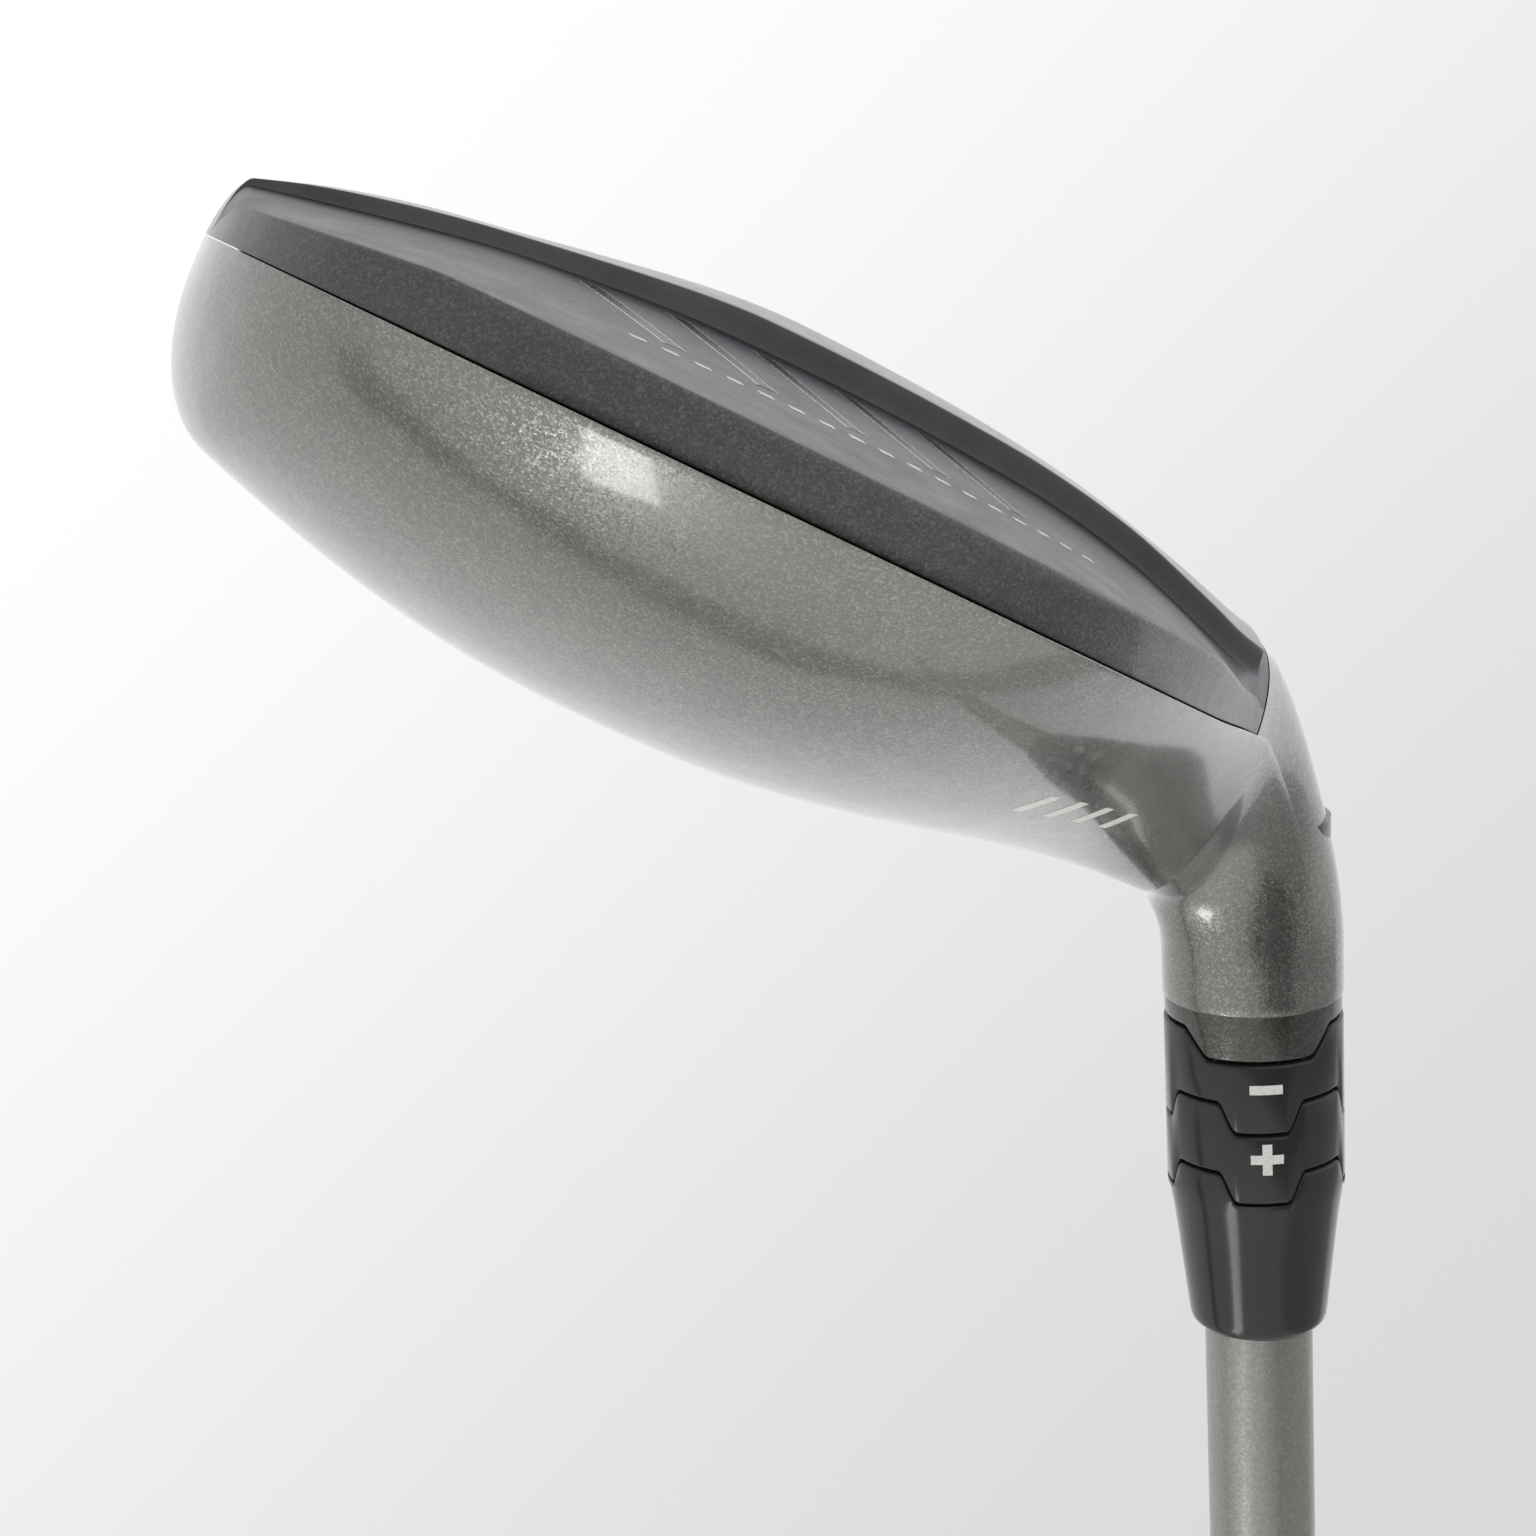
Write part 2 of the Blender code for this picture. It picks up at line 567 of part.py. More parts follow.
def build_head(mats, parts, cutters):
    face_first = STATIONS.index(FACE_START_X)
    face_last = STATIONS.index(FACE_END_X)
    split = STATIONS.index(SOLE_SPLIT_X)
    last = len(STATIONS) - 1
    n_crown = CROWN_COUNT
    n_sole = sum(SOLE_COUNTS)
    sole_start = n_crown + 1
    face_start = sole_start + n_sole + 1
    ring_size = face_start + FACE_COUNT + 1
    crown_run = range(n_crown)
    sole_run = range(sole_start, sole_start + n_sole)
    face_run = range(face_start, face_start + FACE_COUNT)

    outer = head_grid(STATIONS, (0.0, 0.0, 0.0))
    skin = head_grid(STATIONS, (CROWN_WALL, CROWN_WALL, CROWN_WALL))
    sole_skin = head_grid(STATIONS, (SOLE_WALL, SOLE_WALL, SOLE_WALL))
    face_skin = head_grid(STATIONS, (FACE_WALL, FACE_WALL, FACE_WALL))

    crown_cells = []
    for i in range(last):
        crown_cells += [(i, j) for j in crown_run]
        if i > face_last:
            crown_cells += [(i, j) for j in face_run] + [(i, ring_size - 1)]
        if i > split:
            crown_cells += [(i, j) for j in sole_run] + [(i, n_crown), (i, face_start - 1)]
    sole_cells = [(i, j) for i in range(split) for j in sole_run]
    face_cells = [(i, j) for i in range(face_first, face_last) for j in face_run]

    crown = add("crown_body", patch_mesh("crown_body", outer, skin, crown_cells), mats["paint"], parts)
    sole = add("sole_body", patch_mesh("sole_body", outer, sole_skin, sole_cells), mats["sole"], parts)
    add("face_cup", patch_mesh("face_cup", outer, face_skin, face_cells), mats["face"], parts)

    # hosel lining with the bore, clamping ledge and screw port, trimmed to the head's outline
    long_hosel = STATIONS[:-1] + [STATIONS[-1] + 12.0]
    trim = add("trim_head", loft_mesh("trim_head", head_grid(long_hosel, (0.15, 0.15, 0.15))),
               mats["paint"], cutters)
    trim.location = Vector(TRIM_SHIFT) * MM
    make_cutter(trim)
    hole = SCREW_RADIUS + HOLE_PLAY
    core = add("hosel_core", castle_mesh("hosel_core", CORE_LOW,
                                         [(COLLAR_RADIUS, SEAM_1), (COLLAR_RADIUS, HOSEL_TOP - 2.2),
                                          (CORE_RADIUS, HOSEL_TOP - 3.2), (CORE_RADIUS, CORE_LOW)],
                                         [(PORT_RADIUS, CORE_LOW), (PORT_RADIUS, WEB_BOTTOM),
                                          (hole, WEB_BOTTOM), (hole, WEB_TOP), (NOSE_BORE, WEB_TOP),
                                          (NOSE_BORE, NOSE_TOP - GAP), (BORE_RADIUS, NOSE_TOP - GAP),
                                          (BORE_RADIUS, SEAM_1)], None, TABS_1), mats["paint"], cutters)
    make_cutter(on_axis(core, CORE_LOW))
    boolean(core, trim, "INTERSECT", "Trim")
    port = rod("cut_port", PORT_RADIUS + 0.05, 0.0, WEB_BOTTOM + 0.7, 40, mats["paint"], cutters)
    make_cutter(on_axis(port, 0.0))
    boolean(crown, port, "DIFFERENCE", "Port")
    boolean(crown, core, "UNION", "Core")
    room = rod("cut_core_room", CORE_RADIUS + GAP, CORE_LOW - 4.0, HOSEL_TOP, 40, mats["sole"], cutters)
    make_cutter(on_axis(room, CORE_LOW - 4.0))
    boolean(sole, room, "DIFFERENCE", "Room")

    # threaded boss and pocket of the sole weight
    boss = rod("weight_boss", WEIGHT_BOSS_RADIUS, 0.0, WEIGHT_BOSS_TOP + 4.0, 40, mats["sole"], cutters)
    boss.location = Vector((WEIGHT_X, WEIGHT_Y, -4.0)) * MM
    make_cutter(boss)
    boolean(boss, trim, "INTERSECT", "Trim")
    boolean(sole, boss, "UNION", "Boss")
    tilt = Euler((0.0, -WEIGHT_TILT, 0.0))
    seat = Vector((WEIGHT_X, WEIGHT_Y, spline(SOLE_CAMBER, WEIGHT_X))) * MM
    down = Vector((0.0, 0.0, -3.0 * MM))
    down.rotate(tilt)
    pocket = rod("cut_pocket", WEIGHT_RADIUS + GAP, 0.0, WEIGHT_DEPTH + 3.0, 40, mats["sole"], cutters)
    pocket.location = seat + down
    pocket.rotation_euler = tilt
    make_cutter(pocket)
    boolean(sole, pocket, "DIFFERENCE", "Pocket")
    pad = block("cut_pad", (60.0, 40.0, 8.0), (0.0, 0.0, -4.0), 0.0, mats["sole"], cutters)
    pad.modifiers.clear()
    make_cutter(pad)
    boolean(sole, pad, "DIFFERENCE", "Pad")

    lift = Vector((0.0, 0.0, WEIGHT_RECESS * MM))
    lift.rotate(tilt)
    length = WEIGHT_DEPTH - WEIGHT_RECESS - GAP
    weight = turned("sole_weight", [(0.0, length), (WEIGHT_RADIUS - 0.4, length),
                                    (WEIGHT_RADIUS, length - 0.4), (WEIGHT_RADIUS, 0.4),
                                    (WEIGHT_RADIUS - 0.4, 0.0), (0.0, 0.0)], 36, mats["steel"], parts)
    weight.location = seat + lift
    weight.rotation_euler = tilt
    socket = hex_prism("cut_weight_socket", WEIGHT_HEX, 3.0, mats["steel"], cutters)
    socket.location = seat + lift - lift.normalized() * MM
    socket.rotation_euler = tilt
    make_cutter(socket)
    boolean(weight, socket, "DIFFERENCE", "Socket")

    for side, name in ((-1, "strut_toe"), (1, "strut_heel")):
        block(name, STRUT_SIZE, (side * STRUT_X, STRUT_Y, STRUT_Z), 0.0, mats["bare"], parts)
    block("tungsten_toe", TUNGSTEN_SIZE, TUNGSTEN_TOE, 0.0, mats["tungsten"], parts)
    block("tungsten_heel", TUNGSTEN_SIZE, TUNGSTEN_HEEL, 0.0, mats["tungsten"], parts)


def build_screw(mats, parts, cutters):
    base = SCREW_HEAD_BOTTOM
    head = SCREW_HEAD_TOP - base
    tip = SCREW_TOP - base
    screw = turned("hosel_screw", [(0.0, tip), (SCREW_RADIUS - 0.5, tip), (SCREW_RADIUS, tip - 0.5),
                                   (SCREW_RADIUS, head), (SCREW_HEAD_RADIUS, head),
                                   (SCREW_HEAD_RADIUS, 0.35), (SCREW_HEAD_RADIUS - 0.35, 0.0), (0.0, 0.0)],
                   36, mats["steel"], parts)
    on_axis(screw, base)
    socket = hex_prism("cut_screw_socket", SCREW_HEX, 3.4, mats["steel"], cutters)
    make_cutter(on_axis(socket, base - 1.0))
    boolean(screw, socket, "DIFFERENCE", "Socket")
    low, high = SCREW_HEAD_TOP + GAP, WEB_BOTTOM - GAP
    washer = turned("screw_washer", [(WASHER_RADIUS, high - low), (WASHER_RADIUS, 0.0),
                                     (SCREW_RADIUS + GAP, 0.0), (SCREW_RADIUS + GAP, high - low)],
                    36, mats["steel"], parts)
    on_axis(washer, low)
    low, high = WEB_TOP + GAP, SLEEVE_BOTTOM - GAP
    ring = turned("screw_ring", [(RING_RADIUS, high - low), (RING_RADIUS, 0.0),
                                 (SCREW_RADIUS + GAP, 0.0), (SCREW_RADIUS + GAP, high - low)],
                  36, mats["steel"], parts)
    on_axis(ring, low)


def build_hosel_stack(mats, parts, cutters):
    low, high = SEAM_1 + GAP, SEAM_2
    mesh = castle_mesh("cog_lower", low, [(COG_RADIUS, high), (COG_RADIUS, low)],
                       [(BORE_RADIUS, low), (BORE_RADIUS, high)], TABS_1, TABS_2)
    on_axis(add("cog_lower", mesh, mats["plastic"], parts), low)
    low, high = SEAM_2 + GAP, SEAM_3
    mesh = castle_mesh("cog_upper", low, [(COG_RADIUS, high), (COG_RADIUS, low)],
                       [(BORE_RADIUS, low), (BORE_RADIUS, high)], TABS_2, TABS_2)
    on_axis(add("cog_upper", mesh, mats["plastic"], parts), low)
    low = SEAM_3 + GAP
    outside = [(5.3, FERRULE_END), (5.75, FERRULE_END - 0.15), (6.0, FERRULE_END - 0.6),
               (6.15, FERRULE_END - 1.3), (6.9, FERRULE_END - 8.0), (7.55, FERRULE_END - 12.8),
               (COG_RADIUS, FERRULE_END - 13.4), (COG_RADIUS, low)]
    shoulder = SLEEVE_TOP + GAP + TAB_2
    inside = [(BORE_RADIUS, low), (BORE_RADIUS, shoulder), (TIP_RADIUS + GAP, shoulder),
              (TIP_RADIUS + GAP, FERRULE_END)]
    mesh = castle_mesh("ferrule", low, outside, inside, TABS_2, None)
    on_axis(add("ferrule", mesh, mats["plastic"], parts), low)

    base = SLEEVE_BOTTOM
    r = SLEEVE_RADIUS
    thread = SCREW_RADIUS + GAP
    socket = TIP_RADIUS + GAP
    groove = CLIP_RADIUS - GAP
    sleeve = turned("adapter_sleeve",
                    [(r, SLEEVE_TOP - base), (r, CLIP_TOP + GAP - base), (groove, CLIP_TOP + GAP - base),
                     (groove, CLIP_BOTTOM - GAP - base), (r, CLIP_BOTTOM - GAP - base),
                     (r, NOSE_TOP + NOSE_CONE - base), (NOSE_RADIUS, NOSE_TOP - base),
                     (NOSE_RADIUS, NOSE_CHAMFER), (NOSE_RADIUS - NOSE_CHAMFER, 0.0),
                     (thread, 0.0), (thread, THREAD_TOP - base),
                     (socket, THREAD_TOP - base), (socket, SLEEVE_TOP - base)],
                    48, mats["aluminium"], parts)
    on_axis(sleeve, base)
    clip = turned("cog_clip", [(r, CLIP_TOP - CLIP_BOTTOM), (r, 0.0), (CLIP_RADIUS, 0.0),
                               (CLIP_RADIUS, CLIP_TOP - CLIP_BOTTOM)], 36, mats["steel"], parts)
    on_axis(clip, CLIP_BOTTOM)
    slot = block("cut_clip_slot", (8.0, 2.0, 4.0), (0.0, 0.0, 0.0), 0.0, mats["steel"], cutters)
    slot.modifiers.clear()
    on_axis(slot, CLIP_BOTTOM)
    shift = Vector((CLIP_RADIUS + 2.0, 0.0, 0.0)) * MM
    shift.rotate(slot.rotation_euler)
    slot.location += shift
    make_cutter(slot)
    boolean(clip, slot, "DIFFERENCE", "Slot")


def build_shaft_and_grip(mats, parts):
    end = CLUB_LENGTH - CAP_THICKNESS - 2 * GAP
    r0, r1, w = TIP_RADIUS, BUTT_RADIUS, SHAFT_WALL
    base = SHAFT_TIP
    shaft = turned("shaft", [(r1, end - base), (r1, BUTT_PARALLEL - base), (r0, TIP_PARALLEL - base),
                             (r0, 0.3), (r0 - 0.3, 0.0), (r0 - w, 0.0), (r0 - w, TIP_PARALLEL - base),
                             (r1 - w, BUTT_PARALLEL - base), (r1 - w, end - base)],
                   48, mats["shaft"], parts)
    on_axis(shaft, base)
    gap = TAPE_GAP
    start = GRIP_START

    def shaft_radius(along):
        q = min(1.0, (along - TIP_PARALLEL) / (BUTT_PARALLEL - TIP_PARALLEL))
        return r0 + (r1 - r0) * q

    tape_low = TAPE_START
    ra = shaft_radius(tape_low) + gap
    rb = r1 + gap
    tape = turned("grip_tape", [(rb + TAPE_WALL, end - tape_low), (rb + TAPE_WALL, BUTT_PARALLEL - tape_low),
                                (ra + TAPE_WALL, 0.0), (ra, 0.0), (rb, BUTT_PARALLEL - tape_low),
                                (rb, end - tape_low)], 40, mats["tape"], parts)
    on_axis(tape, tape_low)
    rc = shaft_radius(start) + TAPE_WALL + 2 * gap
    rd = r1 + TAPE_WALL + 2 * gap
    length = end - start
    profile = [(GRIP_BUTT_RADIUS, length), (GRIP_BUTT_RADIUS, length - GRIP_STRAIGHT)]
    for k in range(1, GRIP_STEPS):
        q = k / GRIP_STEPS
        swell = GRIP_BUTT_RADIUS + (GRIP_MOUTH_RADIUS + 0.5 - GRIP_BUTT_RADIUS) * q ** 0.8
        profile.append((swell, (length - GRIP_STRAIGHT) * (1 - q) + GRIP_LIP * q))
    profile += [(GRIP_MOUTH_RADIUS + 0.4, 2.0), (GRIP_MOUTH_RADIUS, 1.0), (GRIP_MOUTH_RADIUS - 0.7, 0.0),
                (rc, 0.0), (rd, BUTT_PARALLEL - start), (rd, length)]
    grip = turned("grip", profile, 40, mats["rubber"], parts)
    on_axis(grip, start)
    cap_low = CLUB_LENGTH - CAP_THICKNESS
    t = CAP_THICKNESS
    edge = GRIP_BUTT_RADIUS
    cap = turned("grip_cap", [(edge - 1.6, t), (edge - 0.6, t - 0.35), (edge, t - 1.2), (edge, 0.0),
                              (VENT_RADIUS, 0.0), (VENT_RADIUS, t)], 40, mats["cap"], parts)
    on_axis(cap, cap_low)


def build():
    clear_scene()
    parts = collection("hybrid_golf_club")
    cutters = collection("cutters")
    mats = {
        "paint": material("gunmetal_paint", (0.16, 0.165, 0.16), 0.85, 0.24),
        "sole": material("satin_smoke", (0.17, 0.16, 0.19), 0.8, 0.38),
        "face": material("brushed_face", (0.42, 0.42, 0.43), 0.95, 0.36),
        "bare": material("bare_titanium", (0.45, 0.44, 0.43), 0.9, 0.45),
        "tungsten": material("tungsten", (0.3, 0.3, 0.31), 0.9, 0.5),
        "steel": material("screw_steel", (0.5, 0.5, 0.52), 1.0, 0.3),
        "aluminium": material("anodised_aluminium", (0.55, 0.56, 0.58), 0.95, 0.35),
        "plastic": material("gloss_black_plastic", (0.012, 0.013, 0.012), 0.0, 0.12),
        "shaft": material("satin_silver_shaft", (0.36, 0.37, 0.35), 0.7, 0.4),
        "tape": material("grip_tape_paper", (0.75, 0.73, 0.66), 0.0, 0.8),
        "rubber": material("black_rubber", (0.03, 0.03, 0.03), 0.0, 0.75),
        "cap": material("cap_rubber", (0.05, 0.05, 0.05), 0.0, 0.6),
    }
    build_head(mats, parts, cutters)
    build_screw(mats, parts, cutters)
    build_hosel_stack(mats, parts, cutters)
    build_shaft_and_grip(mats, parts)
    for obj in parts.objects:
        if not obj.modifiers or obj.name in ("crown_body", "sole_body", "face_cup"):
            shade(obj)


build()
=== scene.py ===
"""Looks of the hybrid golf club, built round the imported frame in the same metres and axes."""
import math

import bmesh
import bpy
from mathutils import Euler, Matrix, Vector


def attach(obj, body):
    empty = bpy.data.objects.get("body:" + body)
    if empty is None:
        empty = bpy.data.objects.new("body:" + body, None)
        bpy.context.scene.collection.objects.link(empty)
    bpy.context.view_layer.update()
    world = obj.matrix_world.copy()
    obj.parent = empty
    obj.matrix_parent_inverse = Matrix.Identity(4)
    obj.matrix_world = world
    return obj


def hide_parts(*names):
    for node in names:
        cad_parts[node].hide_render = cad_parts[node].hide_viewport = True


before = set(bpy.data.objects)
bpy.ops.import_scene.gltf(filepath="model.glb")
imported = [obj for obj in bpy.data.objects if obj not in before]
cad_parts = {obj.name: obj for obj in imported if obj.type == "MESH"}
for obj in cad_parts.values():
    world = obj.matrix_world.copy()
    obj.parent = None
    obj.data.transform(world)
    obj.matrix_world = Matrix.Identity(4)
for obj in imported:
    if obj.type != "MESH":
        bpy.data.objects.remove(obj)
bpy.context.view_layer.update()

MM = 0.001
GAP = 0.3                     # clearance between neighbouring pieces

# ---- club geometry (mm and degrees) ----
LIE = math.radians(60.0)
LOFT = math.radians(21.0)
AXIS_X = 43.3                 # shaft axis meets the ground here
AXIS_Y = -10.0
CLUB_LENGTH = 1016.0

# ---- head outline ----
TOE_X = -44.1
MID_X = -2.0                  # station of the deepest section
SEAM_Z = 12.9                 # crown to sole joint, level all round
POLE_Y = 6.0                  # outermost point of the toe
REAR_Y = 42.0
EDGE_Y = -16.6                # leading edge at the middle of the face
FACE_BULGE = 300.0            # radius of the leading edge seen from above
PLAN_REAR_POWER = 2.3
PLAN_FRONT_POWER = 4.0
HEEL_REACH = 56.0
HEEL_POWER = 1.53
TOE_ROUND_X = -38.0           # crown starts rounding down to the toe
TOE_ROUND_POWER = 2.3
FACE_TOE_X = -41.5
FACE_START_X = -41.13
FACE_END_X = 36.4
FACE_ROUND = 12.0
FACE_ROUND_POWER = 2.5
EDGE_RISE = 2.4               # leading edge above the sole
LOW_SHARE = 0.689             # lowest line, from the leading edge back to the step
TOE_WALL_RUN = 1.1
TOPLINE_DROP = 3.6
PEAK_SHARE = 0.19             # crown peak, from the topline back to the seam
WALL_HEIGHT = 3.9             # skirt wall under the rear seam
WALL_INSET = 0.5
STEP_Y = 8.0                  # step between the rear shelf and the front sole
STEP_HEIGHT = 2.1
PAD_CUT = 0.06                # the lowest point of the sole is faced flat by this much
LENS_END_X = 40.6             # rear shelf ends here, at the heel
LENS_END_RUN = 1.6
SOLE_SPLIT_X = 42.8           # sole piece ends here, the heel belongs to the hosel casting

# ---- neck and hosel ----
PIVOT_X = 45.5
PIVOT_Z = 37.4
NECK_RADIUS = 9.0
HOSEL_RADIUS = 7.8
NECK_RUN = 18.0               # station length of the turn from head to hosel
REAR_TAPER = 26.0
FRONT_SETTLE = 0.5            # share of the turn by which the front reaches hosel width
HEEL_DEPTH = 7.15             # extra reach of the heel section over the hosel diameter
MORPH_START_X = 33.0
HEEL_EASE = 2.0

# ---- shell thickness ----
CROWN_WALL = 0.9
SOLE_WALL = 1.2
FACE_WALL = 2.0

# ---- hosel stack, distances along the shaft axis from the ground ----
SEAM_1 = 39.2
SEAM_2 = 45.3
SEAM_3 = 51.7
TAB_1 = 2.4
TAB_2 = 2.7
FERRULE_END = 68.2
COG_RADIUS = 7.7
TAB_AZIMUTH = 110.0
TABS_1 = (2, 106.0, 72.0, TAB_1)   # count, root and tip width in degrees, height
TABS_2 = (4, 54.0, 36.0, TAB_2)
CLIP_BOTTOM = 29.3            # snap ring that keeps the cogs on the sleeve
CLIP_TOP = 30.2
CLIP_RADIUS = 5.2
HOSEL_TOP = 37.6              # painted hosel ends, bare castellated collar begins
SLEEVE_RADIUS = 6.1
SLEEVE_BOTTOM = 24.2
SLEEVE_TOP = 54.0
NOSE_RADIUS = 4.6             # narrower lower end of the sleeve
NOSE_TOP = 28.1
NOSE_CONE = 0.6
NOSE_CHAMFER = 0.8
THREAD_TOP = 31.0
SHAFT_TIP = 32.0
TIP_RADIUS = 4.725
TIP_PARALLEL = 110.0
BUTT_RADIUS = 7.6
BUTT_PARALLEL = 760.0
SHAFT_WALL = 1.2
SCREW_RADIUS = 2.35
SCREW_HEAD_RADIUS = 4.4
SCREW_HEAD_BOTTOM = 16.6
SCREW_HEAD_TOP = 20.2
WEB_BOTTOM = 21.4             # ledge across the hosel that the screw clamps
WEB_TOP = 22.9
SCREW_TOP = 30.5
PORT_RADIUS = 5.6
SCREW_HEX = 4.0
WASHER_RADIUS = 5.0
RING_RADIUS = 4.0             # keeps the screw captive in the head
COLLAR_RADIUS = 7.6
CORE_LOW = 3.0
CORE_RADIUS = 7.3             # boss round the hosel bore
BORE_RADIUS = SLEEVE_RADIUS + GAP
NOSE_BORE = NOSE_RADIUS + GAP

# ---- sole weight screw ----
WEIGHT_X = 22.0
WEIGHT_Y = -3.0
WEIGHT_RADIUS = 5.0
WEIGHT_TILT = math.radians(8.5)
WEIGHT_DEPTH = 5.4
WEIGHT_RECESS = 0.5
WEIGHT_HEX = 4.0

# ---- grip ----
GRIP_START = CLUB_LENGTH - 268.0
GRIP_MOUTH_RADIUS = 10.2
GRIP_BUTT_RADIUS = 13.2
CAP_THICKNESS = 3.0
VENT_RADIUS = 1.6
TAPE_WALL = 0.35
TAPE_GAP = 0.15
GRIP_STRAIGHT = 6.0           # parallel length at the butt
GRIP_LIP = 3.0                # rounded mouth of the grip

SOLE_CAMBER = [(-44.1, 8.9), (-39.0, 6.6), (-32.0, 4.6), (-24.8, 3.2), (-17.6, 1.8), (-10.0, 0.5),
               (-4.0, -PAD_CUT), (4.0, -PAD_CUT), (13.3, 0.35), (21.5, 1.2), (30.0, 2.75), (38.0, 4.5),
               (42.0, 5.0), (45.5, 5.65)]
CROWN_LINE = [(-44.1, 24.7), (-39.0, 26.4), (-33.0, 28.3), (-26.0, 30.2), (-18.9, 31.6),
              (-11.6, 32.4), (-4.0, 32.7), (3.7, 32.6), (11.6, 31.9), (19.7, 30.8), (29.0, 29.4),
              (38.0, 28.5), (45.5, 28.4)]
STEP_LINE = [(-44.1, 8.9), (-39.8, 7.9), (-33.0, 6.4), (-26.4, 5.1), (-19.5, 4.2), (-12.4, 3.5),
             (-5.2, 3.25), (2.2, 3.2), (9.8, 3.35), (17.6, 3.8), (25.7, 5.0), (33.9, 7.2),
             (38.6, 8.6), (45.5, 9.6)]

CROWN_CURVE = 56
LIP_COUNT = 3
CROWN_COUNT = CROWN_CURVE + LIP_COUNT
WALL_LINE = 5
SHELF_LINE = 20
STEP_RUN = 3
SOLE_COUNTS = (WALL_LINE + 2 * LIP_COUNT, SHELF_LINE, STEP_RUN + 2 * LIP_COUNT, 34)
SKIRT_SLOT, SHELF_SLOT, STEP_SLOT, FRONT_SLOT = range(4)
PAINT_SLOT, BARE_SLOT = range(2)
CUTTER_LOW = -5.0             # cutters along the shaft axis start below the sole
PORT_PLAY = 0.02              # visible port wall stands this much outside the nominal radius
LINING_OVERLAP = 0.5          # port and lining run this far into the ledge
LINING_INSET = 0.05           # lining ends just under the painted surface
FACE_COUNT = 14
LIP = 0.3                     # edge rounding of the sheet metal
SEAM_GAP = 0.08


def spline(table, x):
    """Smooth value from a table of (x, value) pairs (monotone-spaced Catmull-Rom)."""
    x = min(max(x, table[0][0]), table[-1][0])
    k = 0
    while k < len(table) - 2 and x > table[k + 1][0]:
        k += 1
    x0, y0 = table[k]
    x1, y1 = table[k + 1]
    xa, ya = table[k - 1] if k > 0 else (2 * x0 - x1, 2 * y0 - y1)
    xb, yb = table[k + 2] if k + 2 < len(table) else (2 * x1 - x0, 2 * y1 - y0)
    m0 = (y1 - ya) / (x1 - xa) * (x1 - x0)
    m1 = (yb - y0) / (xb - x0) * (x1 - x0)
    t = (x - x0) / (x1 - x0)
    return ((2 * t ** 3 - 3 * t ** 2 + 1) * y0 + (t ** 3 - 2 * t ** 2 + t) * m0
            + (3 * t ** 2 - 2 * t ** 3) * y1 + (t ** 3 - t ** 2) * m1)


def smooth(t):
    t = min(max(t, 0.0), 1.0)
    return t * t * (3 - 2 * t)


def closing(t, power):
    """Superellipse factor: 1 at t = 0, rounding down to 0 at t = 1."""
    t = min(max(t, 0.0), 1.0)
    return (1 - t ** power) ** (1 / power)


def bezier(a, b, c, d, count):
    points = []
    for i in range(count + 1):
        t = i / count
        u = 1 - t
        points.append(tuple(u ** 3 * a[k] + 3 * u * u * t * b[k] + 3 * u * t * t * c[k] + t ** 3 * d[k]
                            for k in range(2)))
    return points


def line(a, b, count):
    return [tuple(a[k] + (b[k] - a[k]) * i / count for k in range(2)) for i in range(count + 1)]


def mix(a, b, w):
    return tuple(a[k] + (b[k] - a[k]) * w for k in range(2))


def fillet(a, corner, b, radius, count):
    """Rounding of a corner between the lines towards a and b."""
    ends = []
    for p in (a, b):
        reach = max(math.dist(corner, p), 1e-6)
        ends.append(mix(corner, p, min(0.45, radius / reach)))
    return [mix(mix(ends[0], corner, i / count), mix(corner, ends[1], i / count), i / count)
            for i in range(count + 1)]


def rear_outline(x, inset, narrow):
    """Rear edge of the head; narrow is the toe closing factor."""
    if x < MID_X:
        return POLE_Y + (REAR_Y - inset - POLE_Y) * narrow
    hosel_rear = AXIS_Y + HOSEL_RADIUS
    reach = (1 - ((x - MID_X) / HEEL_REACH) ** 2) ** HEEL_POWER
    return hosel_rear - inset + (REAR_Y - hosel_rear) * reach


